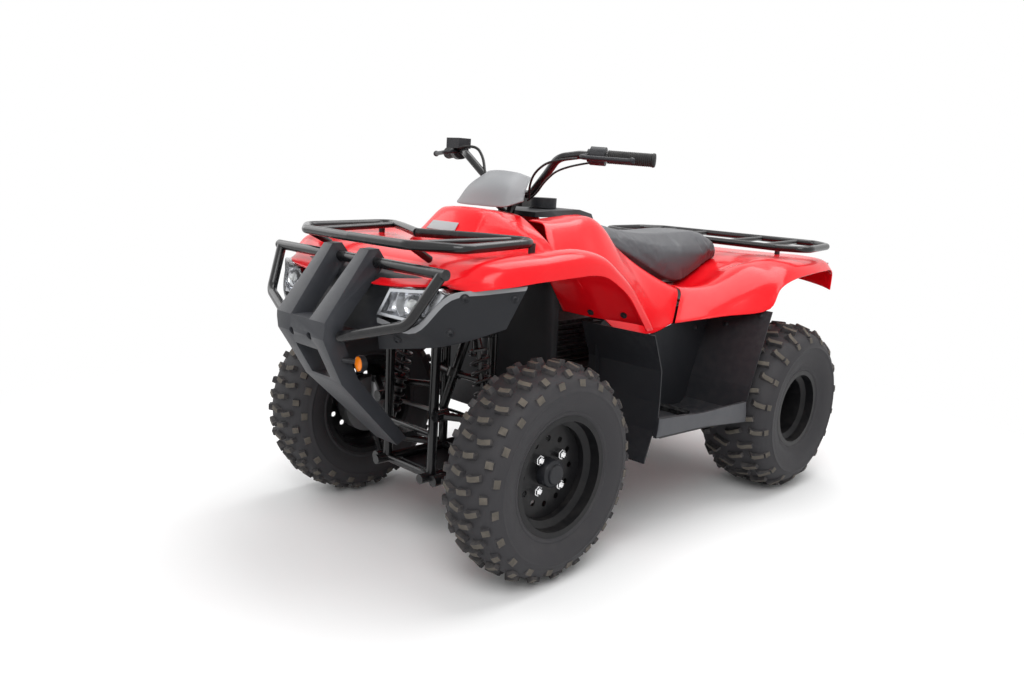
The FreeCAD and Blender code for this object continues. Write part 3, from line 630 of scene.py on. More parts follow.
@dataclass
class Tyre(Assembly):
    """One tyre on the left: its carcass and the blocks of its tread.

    Attributes:
        name: The tyre's name.
        axle: Its axle's place along the machine.
        pitches: How often its tread repeats.
        shell: Offset and radius of the carcass's rings, from the outer bead to the crown.
        sides: Number of sides of the carcass.
        face: Share of a block's length and width that its face keeps.
        edge: Width of the rounding of that face.
        hook_run: How far inwards a hooked block is drawn on.
    """

    name: str
    axle: float
    pitches: int
    shell: Profile
    sides: int = 120
    face: Point = (0.88, 0.8, 1)
    edge: float = 0.0016
    hook_run: float = 0.011

    def centre(self) -> Vector:
        """Middle of the tyre."""
        return Vector((HALF_TRACK, self.axle, WHEEL_RADIUS))

    def carcass(self) -> Thing:
        """Turn the carcass about its axle, smooth over its shoulders."""
        inner = [(-offset, radius) for offset, radius in reversed(self.shell[:-1])]
        piece = turned(self.name, self.shell + inner, self.sides, closed=True, angle=50.0)
        placed(piece, along(self.centre(), (1, 0, 0)))
        return self.painted(piece, "tyre", "tread_face")

    def block(self, size: Point, spot: Profile, phase: float, twist: float,
              hook: float = 0.0) -> Thing:
        """Model one tread block and stand it on the tyre.

        Args:
            size: Its length across the tyre, its width around it and its height.
            spot: Offset and radius of its face's middle, and of a point that its slope leads to.
            phase: How many pitches on it stands.
            twist: How far it is turned about its middle, in degrees.
            hook: How far its inner end is carried on round a corner.

        Returns:
            The block, with its face in the second material.
        """
        piece = added("cube", self.name + "_block", size=1.0)
        with editing(piece):
            bpy.ops.transform.resize(value=size)
            if hook:
                pick(piece, lambda middle, normal: normal.x < -0.5)
                extruded((-self.hook_run, hook, 0))
            pick(piece, lambda middle, normal: normal.z > 0.5)
            bpy.ops.transform.resize(value=self.face)
            bpy.ops.mesh.bevel(offset=self.edge, segments=2, affect="EDGES")
        self.painted(piece, "tyre", "tread_face")
        for face in piece.data.polygons:
            face.material_index = int(face.normal.z > 0.9)
        (offset, radius), (far, low) = spot
        tilt = math.atan2(radius - low, far - offset)
        return placed(piece, Matrix.Translation(self.centre())
                      @ Matrix.Rotation(math.tau * phase / self.pitches, 4, "X")
                      @ Matrix.Translation((offset, 0, radius)) @ Matrix.Rotation(tilt, 4, "Y")
                      @ Matrix.Rotation(math.radians(twist), 4, "Z")
                      @ Matrix.Translation((0, 0, -size[2] / 2)))

    def built(self, rows: Iterable[tuple]) -> Thing:
        """Stand blocks on both halves and spin them round the axle, onto the carcass.

        Args:
            rows: What block() is told of each block of one pitch's outer half.

        Returns:
            The whole tyre.
        """
        blocks = [self.block(*row) for row in rows]
        swap = (Matrix.Translation(self.centre())
                @ Matrix.Rotation(math.pi / self.pitches, 4, "X")
                @ Matrix.Scale(-1, 4, (1, 0, 0)) @ Matrix.Translation(-self.centre()))
        blocks += [copied(block, block.name, swap) for block in blocks]
        ring = joined(blocks, self.name + "_tread")
        with editing(ring):
            bpy.ops.mesh.spin(steps=self.pitches - 1, dupli=True, center=self.centre(),
                              angle=math.tau * (1 - 1 / self.pitches), axis=(1, 0, 0))
            bpy.ops.mesh.select_all(action="SELECT")
            bpy.ops.mesh.normals_make_consistent(inside=False)
        smoothed(ring, 40)
        return joined([self.carcass(), ring], self.name)


@dataclass
class Wheels(Assembly):
    """The four tyres, and the nuts and caps of their hubs."""

    stud_circle: float = 0.110
    nut_width: float = 0.0232
    nut_depth: float = 0.014
    nut_inset: float = 0.0022
    nut_edge: float = 0.0008
    front_face: float = 0.4086
    rear_face: float = 0.3856
    front_shell: Profile = field(default_factory=lambda: [
        (0.0677, 0.1414), (0.0728, 0.1552), (0.0748, 0.1562), (0.0762, 0.1608), (0.0748, 0.1640),
        (0.0790, 0.1720), (0.0838, 0.1830), (0.0868, 0.1950), (0.0878, 0.2075), (0.0876, 0.2110),
        (0.0889, 0.2128), (0.0889, 0.2152), (0.0870, 0.2172), (0.0845, 0.2260), (0.0800, 0.2355),
        (0.0735, 0.2440), (0.0650, 0.2505), (0.0540, 0.2552), (0.0380, 0.2586), (0.0200, 0.2604),
        (0.0, 0.2610)])
    rear_shell: Profile = field(default_factory=lambda: [
        (0.0967, 0.1164), (0.1018, 0.1302), (0.1040, 0.1312), (0.1056, 0.1360), (0.1045, 0.1395),
        (0.1110, 0.1500), (0.1175, 0.1640), (0.1222, 0.1790), (0.1248, 0.1940), (0.1254, 0.2050),
        (0.1268, 0.2070), (0.1268, 0.2096), (0.1244, 0.2116), (0.1215, 0.2210), (0.1160, 0.2310),
        (0.1080, 0.2395), (0.0980, 0.2462), (0.0840, 0.2515), (0.0640, 0.2560), (0.0340, 0.2598),
        (0.0, 0.2610)])

    def front_tyre(self) -> Thing:
        """Left front tyre, with four rows of blocks to each half."""
        tyre = Tyre(self.materials, "front_tyre_left_tread", FRONT_AXLE, 20, self.front_shell)
        return tyre.built((
            ((0.025, 0.0165, 0.020), [(0.0185, 0.2735), (0.06, 0.2712)], -0.08, 16, 0.004),
            ((0.026, 0.0165, 0.020), [(0.0475, 0.2695), (0.066, 0.2640)], 0.46, 20, 0.004),
            ((0.021, 0.021, 0.020), [(0.0700, 0.2585), (0.082, 0.2475)], 0.0, 4),
            ((0.020, 0.026, 0.014), [(0.0838, 0.2345), (0.0880, 0.2190)], 0.5, 0),
        ))

    def rear_tyre(self) -> Thing:
        """Left rear tyre, with slanting bars from its crown to its shoulders."""
        tyre = Tyre(self.materials, "rear_tyres_tread", REAR_AXLE, 18, self.rear_shell)
        return tyre.built((
            ((0.046, 0.016, 0.020), [(0.0290, 0.2722), (0.060, 0.2702)], 0.05, 22, 0.006),
            ((0.042, 0.017, 0.020), [(0.0700, 0.2688), (0.090, 0.2634)], 0.52, 12, 0.008),
            ((0.033, 0.018, 0.020), [(0.1020, 0.2536), (0.118, 0.2396)], 0.98, -6, 0.006),
            ((0.020, 0.022, 0.014), [(0.1200, 0.2320), (0.1250, 0.2170)], 0.99, 0),
        ))

    def nuts(self, name: str, axle: float, face: float) -> Thing:
        """Four domed nuts on the stud circle of a left hub.

        Args:
            name: The piece's name.
            axle: The axle's place along the machine.
            face: How far out the hub's face stands.

        Returns:
            The nuts as one object.
        """
        nut = added("cylinder", name, vertices=6, radius=self.nut_width / 2 * HEX_CORNERS,
                    depth=self.nut_depth)
        with editing(nut):
            pick(nut, lambda middle, normal: normal.z > 0.5)
            bpy.ops.mesh.inset(thickness=self.nut_inset)
            for rise, share in ((0.004, 0.9), (0.003, 0.72), (0.0015, 0.4)):
                extruded((0, 0, rise))
                bpy.ops.transform.resize(value=(share, share, 1))
        rounded(nut, self.nut_edge, 2)
        reach, out = self.stud_circle / 2, face + self.nut_depth / 2
        spots = [(out, axle + reach * math.cos(turn), WHEEL_RADIUS + reach * math.sin(turn))
                 for turn in map(math.radians, (45, 135, 225, 315))]
        return repeated(nut, name, [along(spot, (1, 0, 0)) for spot in spots])

    def cap(self) -> Thing:
        """Black plastic cap over the middle of the left front hub."""
        cap = turned("front_cap_left", [(0.0, 0.0350), (0.0240, 0.0350), (0.0262, 0.0335),
                                        (0.0290, 0.0280), (0.0300, 0.0258), (0.0340, 0.0246),
                                        (0.0355, 0.0225), (0.0355, 0.0060)], 48)
        return placed(cap, along((self.front_face, FRONT_AXLE, WHEEL_RADIUS), (1, 0, 0)))

    def front_pair(self, left: Thing, slot: str, look: str) -> None:
        """Dress a piece of the left front wheel, and its mirror image on the right one."""
        right = mirrored(left, left.name.replace("left", "right"))
        self.finished(right, slot, look, body=Body.RIGHT_WHEEL)
        self.finished(left, slot, look, body=Body.LEFT_WHEEL)

    def build(self) -> None:
        """Build and dress every wheel."""
        left = self.front_tyre()
        right = mirrored(left, "front_tyre_right_tread")
        self.finished(left, "tyre", None, "front_tyre_left", body=Body.LEFT_WHEEL)
        self.finished(right, "tyre", None, "front_tyre_right", body=Body.RIGHT_WHEEL)
        rear = paired(self.rear_tyre(), "rear_tyres_tread")
        self.finished(rear, "tyre", None, "rear_tyres", body=Body.REAR_WHEELS)
        nuts = self.nuts("front_nuts_left", FRONT_AXLE, self.front_face)
        self.front_pair(nuts, "bright_steel", "chrome")
        self.front_pair(self.cap(), "dark_plastic", "dark_plastic")
        nuts = paired(self.nuts("rear_nuts", REAR_AXLE, self.rear_face), "rear_nuts")
        self.finished(nuts, "bright_steel", "chrome", body=Body.REAR_WHEELS)


@dataclass
class Seat(Assembly):
    """Padded saddle: swollen by cloth simulation, then smoothed."""

    voxel: float = 0.006
    shrink: float = 0.003
    cap: float = 0.009
    frames: int = 16
    pressure: float = 4.0
    quality: int = 5
    smoothing: int = 4

    def pad(self) -> Thing:
        """Copy the CAD seat, close it, draw it in a little and even out its faces."""
        pad = copied(bpy.data.objects["seat"], "seat_pad")
        with editing(pad):
            merged(CAD_WELD)
            bpy.ops.transform.shrink_fatten(value=-self.shrink)
        return modified(pad, "REMESH", mode="VOXEL", voxel_size=self.voxel, use_smooth_shade=True)

    def swollen(self, pad: Thing) -> Thing:
        """Swell the pad under pressure and cap how far each point moves."""
        rest = [vertex.co.copy() for vertex in pad.data.vertices]
        focus(pad)
        cloth = pad.modifiers.new("padding", "CLOTH")
        cloth.settings.use_pressure = True
        cloth.settings.uniform_pressure_force = self.pressure
        cloth.settings.quality = self.quality
        cloth.settings.effector_weights.gravity = 0.0
        cloth.point_cache.frame_end = self.frames
        scene = bpy.context.scene
        for frame in range(1, self.frames + 1):
            scene.frame_set(frame)
        bpy.ops.object.modifier_apply(modifier=cloth.name)
        for vertex, start in zip(pad.data.vertices, rest):
            move = vertex.co - start
            if move.length > self.cap:
                vertex.co = start + move * (self.cap / move.length)
        scene.frame_set(1)
        return pad

    def build(self) -> None:
        """Build and dress the seat."""
        pad = self.pad()
        pad = self.swollen(pad)
        modified(pad, "SMOOTH", factor=0.5, iterations=self.smoothing)
        modified(pad, "SUBSURF", levels=1, render_levels=1)
        focus(pad)
        bpy.ops.object.shade_smooth()
        self.finished(pad, "seat_vinyl", "seat_vinyl", "seat")


@dataclass
class Handlebar(Assembly):
    """Ribbed grips and control cables."""

    outer: Point = (0.400, -0.172, 1.035)
    inner: Point = (0.230, -0.262, 1.040)
    grip_radius: float = 0.0172
    grip_start: float = -0.005
    grip_length: float = 0.123
    ribs: int = 22
    grip_root: float = 0.0088
    grip_ends: float = 0.012

    def way(self) -> Vector:
        """Direction of the left grip, from its outer end inwards."""
        return (Vector(self.inner) - Vector(self.outer)).normalized()

    def grip(self) -> Thing:
        """Left grip with rounded ribs, a flange and a closed end."""
        pitch = (self.grip_length - self.grip_ends) / self.ribs
        profile = [(0.0, 0.0120), (0.0005, 0.0165), (0.0030, 0.0182), (0.0075, 0.0182),
                   (0.0085, 0.0160)]
        for rib in range(self.ribs):
            start = self.grip_root + rib * pitch
            profile += [(start, 0.0158), (start + 0.25 * pitch, self.grip_radius),
                        (start + 0.7 * pitch, self.grip_radius), (start + 0.92 * pitch, 0.0158)]
        profile += [(self.grip_length - 0.002, 0.0175), (self.grip_length, 0.0172),
                    (self.grip_length, 0.0113)]
        grip = turned("hand_grips_ribbed", profile, 40, angle=60.0)
        start = Vector(self.outer) + self.way() * self.grip_start
        return placed(grip, along(start, self.way()))

    def cable(self, name: str, points: list[Point], radius: float) -> Thing:
        """Control cable or hose along a smooth line, dressed and hung on the steering.

        Args:
            name: The piece's name.
            points: Its route's points.
            radius: Half its diameter.

        Returns:
            The cable.
        """
        curve = bpy.data.curves.new(name, "CURVE")
        curve.dimensions = "3D"
        curve.bevel_depth = radius
        curve.bevel_resolution = 3
        curve.resolution_u = 16
        line = curve.splines.new("NURBS")
        line.points.add(len(points) - 1)
        for spot, place in zip(line.points, points):
            spot.co = (*place, 1.0)
        line.order_u = 3
        line.use_endpoint_u = True
        piece = bpy.data.objects.new(name, curve)
        bpy.context.scene.collection.objects.link(piece)
        self.painted(piece, "cable_sleeve")
        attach(piece, Body.STEERING.value)
        return piece

    def build(self) -> None:
        """Build and dress the handlebar's own pieces."""
        grips = paired(self.grip(), "hand_grips_ribbed")
        self.finished(grips, "grip_rubber", "grip_rubber", "hand_grips", body=Body.STEERING)
        for name, radius, points in (
                ("brake_cable_left", 0.0032,
                 [(0.243, -0.288, 1.030), (0.195, -0.330, 1.024), (0.140, -0.335, 0.992),
                  (0.104, -0.318, 0.950), (0.082, -0.292, 0.918)]),
                ("choke_cable_left", 0.0028,
                 [(0.262, -0.262, 1.020), (0.205, -0.306, 1.006), (0.150, -0.308, 0.966),
                  (0.108, -0.292, 0.930), (0.070, -0.284, 0.912)]),
                ("brake_hose_right", 0.0042,
                 [(-0.220, -0.285, 1.048), (-0.180, -0.262, 1.060), (-0.140, -0.262, 1.024),
                  (-0.106, -0.285, 0.970), (-0.078, -0.288, 0.925)])):
            self.cable(name, points, radius)


def curve_through(points: list[Vector], steps: int, before: Vector | None = None) -> list[Vector]:
    """Find points on a smooth curve through the given ones.

    Args:
        points: Points that the curve passes.
        steps: Number of runs between two of them.
        before: Point that the curve comes from, where it goes on past its start.

    Returns:
        The curve's points, from the first one to the last.
    """
    first = points[0] * 2 - points[1] if before is None else before
    chain = [first, *points, points[-1] * 2 - points[-2]]
    found = []
    for a, b, c, d in zip(chain, chain[1:], chain[2:], chain[3:]):
        into, run, out = (max((q - p).length, 1e-6) ** 0.5 for p, q in ((a, b), (b, c), (c, d)))
        leave = ((b - a) / into - (c - a) / (into + run) + (c - b) / run) * run
        arrive = ((c - b) / run - (d - b) / (run + out) + (d - c) / out) * run
        for step in range(steps):
            s = step / steps
            found.append(b * (2 * s ** 3 - 3 * s ** 2 + 1) + leave * (s ** 3 - 2 * s ** 2 + s)
                         + c * (3 * s ** 2 - 2 * s ** 3) + arrive * (s ** 3 - s ** 2))
    return found + [points[-1]]


@dataclass
class Sheet:
    """Moulded sheet, smooth through rows of points of its left half.

    Attributes:
        name: The piece's name.
        rows: Rows from front to rear, each from the middle outwards, in millimetres.
        steps: Number of faces between two points.
        thick: Thickness, inwards from the points.
        lip: Width of the rounding of its rims.
        seam: How near the middle plane the halves are merged.
        crease: Edges sharper than this many degrees are rounded.
        shade: Edges sharper than this many degrees stay sharp to the eye.
    """

    name: str
    rows: list[list[Point]]
    steps: int = 5
    thick: float = 0.004
    lip: float = 0.0012
    seam: float = 0.0004
    crease: float = 50.0
    shade: float = 38.0

    def points(self) -> list[list[Vector]]:
        """Points of the smooth half, row by row."""
        rows = []
        for row in self.rows:
            spots = [Vector(p) / 1000 for p in row]
            twin = Vector((-spots[1].x, spots[1].y, spots[1].z)) if abs(spots[0].x) < 1e-6 else None
            rows.append(curve_through(spots, self.steps, twin))
        columns = [curve_through(list(column), self.steps) for column in zip(*rows)]
        for spot in columns[0]:
            spot.x = max(spot.x, 0.0)
        return [list(row) for row in zip(*columns)]

    def half(self) -> Thing:
        """The left half, without thickness."""
        rows = self.points()
        piece = added("grid", self.name, x_subdivisions=len(rows[0]) - 1,
                      y_subdivisions=len(rows) - 1)
        for vertex, spot in zip(piece.data.vertices, (p for row in rows for p in row)):
            vertex.co = spot
        return piece

    def thickened(self, piece: Thing) -> Thing:
        """Mirror a half across the middle and give it its thickness and rounded rims."""
        modified(piece, "MIRROR", merge_threshold=self.seam)
        modified(piece, "SOLIDIFY", thickness=self.thick, offset=-1.0)
        rounded(piece, self.lip, 2, self.crease)
        return smoothed(piece, self.shade)

    def whole(self) -> Thing:
        """Both halves, thickened."""
        return self.thickened(self.half())


BOLTS = {
    "trim_bolts": (0.0085, [((0.3546, -0.7583, 0.7076), (0.825, -0.517, -0.227)),
                            ((0.4140, -0.6620, 0.7101), (0.828, -0.549, -0.109)),
                            ((0.3212, -0.7673, 0.6269), (0.797, -0.503, -0.335)),
                            ((0.2053, -0.8219, 0.5957), (0.205, -0.761, -0.615))]),
    "rear_side_bolts": (0.008, [((0.2510, 0.3400, 0.5300), (1.0, 0.0, 0.0)),
                                ((0.3199, 0.4044, 0.5497), (0.0, -0.937, 0.35)),
                                ((0.4300, 0.4200, 0.5915), (0.0, -0.937, 0.35))]),
    "arch_bolts": (0.007, [((0.3510, -0.1790, 0.6260), (0.212, -0.835, -0.508)),
                           ((0.2538, -0.2000, 0.6210), (0.138, -0.825, -0.548))]),
}


@dataclass
class Bodywork(Assembly):
    """Painted and moulded panels, with their bolts and edge strips."""

    notch_half: float = 0.112
    notch_rear: float = -0.752
    plate_size: Point = (0.112, 0.030, 0.003)
    plate_place: Point = (0.0, -0.5265, 0.8372)
    plate_way: Point = (0.0, -0.74, 0.67)
    plate_edge: float = 0.0012

    def fender(self) -> Sheet:
        """Front fender: nose, raised arches and the slope down to the footwell."""
        return Sheet("front_fender_panel", [
            [(0, -838, 716), (100, -838, 717), (190, -832, 721), (262, -818, 728), (300, -794, 731),
             (312, -777, 731), (316, -771, 726)],
            [(0, -796, 734), (100, -796, 734), (190, -794, 735), (268, -784, 738), (322, -762, 741),
             (350, -751, 738), (364, -747, 724)],
            [(0, -766, 743), (100, -766, 743), (195, -764, 744), (280, -757, 747), (348, -740, 755),
             (380, -728, 752), (394, -724, 730)],
            [(0, -738, 768), (100, -738, 768), (200, -736, 769), (288, -729, 772), (362, -714, 777),
             (394, -704, 766), (410, -700, 734)],
            [(0, -690, 783), (100, -690, 783), (200, -688, 784), (300, -684, 786), (376, -678, 788),
             (410, -670, 775), (423, -670, 738)],
            [(0, -630, 788), (100, -630, 788), (200, -628, 788), (300, -626, 791), (388, -622, 798),
             (424, -620, 784), (437, -624, 745)],
            [(0, -560, 792), (100, -556, 792), (200, -552, 792), (300, -550, 794), (390, -548, 805),
             (430, -548, 792), (442, -550, 750)],
            [(0, -496, 792), (100, -494, 792), (202, -492, 792), (300, -490, 795), (392, -490, 812),
             (433, -490, 798), (446, -490, 754)],
            [(60, -440, 791), (130, -438, 791), (205, -436, 791), (300, -434, 795),
             (392, -434, 813), (434, -434, 799), (447, -434, 756)],
            [(120, -372, 788), (170, -370, 788), (222, -368, 788), (300, -366, 789),
             (392, -366, 800), (434, -370, 786), (447, -386, 750)],
            [(150, -334, 757), (205, -332, 757), (258, -328, 758), (325, -318, 764),
             (395, -312, 770), (436, -322, 756), (447, -339, 729)],
            [(150, -264, 704), (205, -262, 705), (258, -258, 706), (325, -250, 720),
             (396, -252, 730), (436, -268, 718), (446, -285, 695)],
            [(150, -214, 640), (205, -212, 640), (262, -206, 640), (330, -196, 654),
             (398, -198, 672), (438, -214, 662), (444, -236, 646)],
            [(150, -194, 612), (205, -192, 610), (264, -184, 608), (335, -166, 608),
             (400, -152, 606), (440, -162, 602), (440, -190, 598)],
        ])

    def rear(self) -> Sheet:
        """Rear fender: sides rising to the wheel arches, deck and tail."""
        return Sheet("rear_fender_panel", [
            [(100, 304, 655), (112, 304, 655), (163, 303, 660), (206, 298, 648), (232, 256, 600),
             (253, 215, 557)],
            [(100, 392, 652), (116, 392, 652), (175, 389, 650), (268, 372, 670), (330, 348, 634),
             (352, 320, 585)],
            [(100, 500, 690), (116, 500, 690), (190, 497, 694), (318, 478, 732), (408, 453, 694),
             (452, 432, 616)],
            [(100, 545, 708), (116, 545, 708), (190, 550, 712), (330, 532, 744), (423, 512, 716),
             (455, 474, 672)],
            [(90, 590, 718), (116, 592, 720), (190, 600, 730), (338, 588, 752), (428, 574, 736),
             (456, 550, 699)],
            [(0, 700, 745), (112, 700, 746), (190, 700, 751), (340, 700, 756), (428, 700, 742),
             (454, 700, 716)],
            [(0, 800, 750), (112, 800, 751), (190, 800, 752), (335, 800, 756), (418, 800, 745),
             (444, 800, 719)],
            [(0, 880, 750), (112, 880, 751), (190, 880, 752), (328, 880, 754), (404, 876, 744),
             (432, 868, 718)],
            [(0, 912, 738), (112, 912, 738), (190, 912, 738), (322, 912, 738), (394, 909, 725),
             (424, 902, 702)],
            [(0, 922, 690), (112, 922, 686), (190, 922, 680), (320, 922, 664), (388, 918, 652),
             (420, 910, 644)],
        ])

    def cowl(self) -> Sheet:
        """Nose cowl, from the fender up to the bar's cover."""
        return Sheet("nose_cowl_panel", [
            [(0, -572, 791), (60, -567, 791), (108, -552, 791), (122, -540, 790), (152, -486, 789),
             (164, -462, 788)],
            [(0, -530, 832), (58, -526, 831), (100, -512, 828), (113, -500, 824), (157, -450, 806),
             (176, -438, 788)],
            [(0, -484, 878), (55, -480, 876), (88, -470, 872), (102, -458, 865), (166, -410, 824),
             (196, -404, 787)],
            [(0, -466, 887), (55, -462, 885), (88, -452, 881), (103, -441, 873), (170, -396, 828),
             (204, -392, 787)],
            [(0, -410, 886), (60, -408, 884), (96, -402, 879), (112, -392, 870), (180, -368, 828),
             (226, -364, 782)],
            [(0, -352, 880), (62, -350, 878), (102, -344, 872), (120, -337, 861), (200, -344, 818),
             (250, -330, 766)],
        ], 6)

    def tank(self) -> Sheet:
        """Tank's cover, open in the middle."""
        return Sheet("tank_cover_panel", [
            [(118, -325, 862), (165, -318, 856), (205, -338, 815), (235, -330, 775),
             (262, -300, 745)],
            [(104, -205, 871), (160, -200, 860), (205, -200, 810), (235, -205, 745),
             (262, -180, 625)],
            [(104, -150, 876), (156, -147, 866), (200, -147, 806), (235, -150, 722),
             (262, -132, 590)],
            [(104, -89, 874), (150, -89, 865), (195, -89, 800), (235, -89, 700), (262, -80, 560)],
            [(102, -40, 846), (147, -41, 842), (192, -32, 776), (233, -26, 672), (260, -20, 548)],
            [(100, 8, 803), (140, 5, 803), (185, 30, 740), (230, 40, 645), (258, 40, 540)],
            [(100, 110, 738), (148, 110, 740), (185, 120, 690), (228, 115, 610), (252, 110, 535)],
            [(112, 296, 655), (155, 296, 658), (200, 290, 650), (228, 250, 600), (250, 207, 557)],
        ])

    def cover(self) -> Sheet:
        """Cover in front of the handlebar."""
        return Sheet("bar_cover_panel", [
            [(0, -410, 893), (60, -406, 893), (98, -396, 896), (118, -350, 912)],
            [(0, -384, 948), (50, -380, 946), (82, -368, 943), (102, -326, 940)],
            [(0, -325, 990), (40, -322, 988), (66, -312, 984), (84, -290, 975)],
        ], 8)

    def rail(self) -> Sheet:
        """Lighter strips along the outer sides of the footboards."""
        return Sheet("foot_rail", [
            [(469.0, -139, 358), (470.4, -142, 334), (469.0, -145, 309)],
            [(469.4, -26, 350), (470.8, -28, 327), (469.4, -30, 304)],
            [(469.4, 84, 341), (470.8, 84, 320), (469.4, 84, 299)],
            [(469.4, 205, 340), (470.8, 207, 313), (469.4, 208, 286)],
            [(469.0, 316, 337), (470.4, 321, 305), (469.0, 325, 274)],
        ], 6)

    def nose(self) -> Sheet:
        """Dark inner panel behind the lamps, below the fender's front edge."""
        return Sheet("nose_inner_panel", [
            [(0, -800, 590), (150, -800, 592), (285, -752, 620), (345, -700, 650)],
            [(0, -806, 660), (150, -806, 660), (285, -760, 680), (350, -704, 694)],
            [(0, -812, 728), (150, -808, 730), (280, -772, 736), (352, -720, 738)],
            [(0, -745, 742), (150, -745, 742), (280, -735, 742), (352, -705, 741)],
        ], 4)

    def trim(self) -> Thing:
        """Dark panels under the lamps, with a lighter strip along their top edge."""
        sheet = Sheet("fender_trims_panel", [
            [(149, -842, 640), (272, -834, 636), (335, -788, 714), (384, -716, 728),
             (430, -639, 739)],
            [(149, -841, 629), (275, -829, 624), (338, -782, 703), (384, -713, 718),
             (428, -642, 729)],
            [(149, -838, 600), (286, -800, 608), (345, -750, 666), (382, -700, 680),
             (417, -656, 690)],
            [(149, -832, 564), (296, -767, 590), (352, -716, 613), (378, -694, 627),
             (402, -672, 640)],
        ], 6)
        piece = self.painted(sheet.half(), "dark_plastic", "satin_grey")
        strip = (len(sheet.rows[0]) - 1) * sheet.steps ** 2  # faces between the first two rows
        for face in piece.data.polygons[:strip]:
            face.material_index = 1
        with editing(piece):
            bpy.ops.mesh.flip_normals()
        return sheet.thickened(piece)

    def notched(self, half: Thing) -> Thing:
        """Cut the middle of the fender's front away, where the guard's prongs stand."""
        with editing(half):
            pick(half, lambda middle, normal: (middle.x < self.notch_half
                                               and middle.y < self.notch_rear))
            bpy.ops.mesh.delete(type="FACE")
        return half

    def softened(self, node: str, width: float) -> Thing:
        """Copy a CAD piece and round its edges.

        Args:
            node: The CAD node.
            width: Width of the rounding.

        Returns:
            The rounded copy.
        """
        piece = copied(bpy.data.objects[node], node + "_rounded")
        with editing(piece):
            bpy.ops.mesh.remove_doubles(threshold=CAD_WELD)
            bpy.ops.mesh.dissolve_limited(angle_limit=math.radians(1))
            bpy.ops.mesh.normals_make_consistent(inside=False)
        return smoothed(rounded(piece, width, 3, 25), 35)

    def plate(self) -> Thing:
        """Bare silver plate on the front of the cowl."""
        plate = added("cube", "cowl_plate", size=1.0)
        with editing(plate):
            bpy.ops.transform.resize(value=self.plate_size)
            pick(plate, lambda middle, normal: normal.y > 0.5)
            bpy.ops.transform.resize(value=(0.9, 1, 1))
        modified(plate, "BEVEL", width=self.plate_edge, segments=3)
        return tidied(placed(plate, along(self.plate_place, self.plate_way)), 30)

    def bolts(self, name: str, radius: float, spots: list[tuple[Point, Point]]) -> Thing:
        """Dome-headed bolts, with a washer each, on both sides of the machine.

        Args:
            name: The piece's name.
            radius: Half a head's width.
            spots: Place and outward way of each left bolt.

        Returns:
            The bolts as one object.
        """
        head = turned(name, [(height, radius * share) for height, share in (
            (-0.004, 1.35), (0.001, 1.35), (0.0015, 1.2), (0.0016, 1.0), (0.0032, 0.94),
            (0.0050, 0.72), (0.0058, 0.42), (0.0036, 0.40), (0.0036, 0.1))], 20)
        return paired(repeated(head, name, [along(place, way) for place, way in spots]), name)

    def build(self) -> None:
        """Build and dress every panel."""
        fender = self.fender()
        panel = fender.thickened(self.notched(fender.half()))
        self.finished(panel, "red_panel", "red_panel", "front_fender")
        for sheet, node in ((self.rear(), "rear_fender"), (self.cowl(), "nose_cowl"),
                            (self.tank(), "tank_cover")):
            self.finished(sheet.whole(), "red_panel", "red_panel", node)
        self.finished(self.cover().whole(), "dark_plastic", "satin_grey", "bar_cover",
                      body=Body.STEERING)
        self.finished(self.trim(), "dark_plastic", None, "fender_trims")
        for node, slot, width in (("bumper_guard", "grey_plastic", 0.006),
                                  ("tank_top", "dark_plastic", 0.005),
                                  ("grille_panel", "dark_plastic", 0.002)):
            self.finished(self.softened(node, width), slot, slot, node)
        self.finished(self.plate(), "grey_plastic", "plate_silver")
        self.finished(self.rail().whole(), "grey_plastic", "rail_grey")
        self.finished(self.nose().whole(), "dark_plastic", "dark_plastic")
        for name, (radius, spots) in BOLTS.items():
            self.finished(self.bolts(name, radius, spots), "dark_plastic", "dark_plastic")


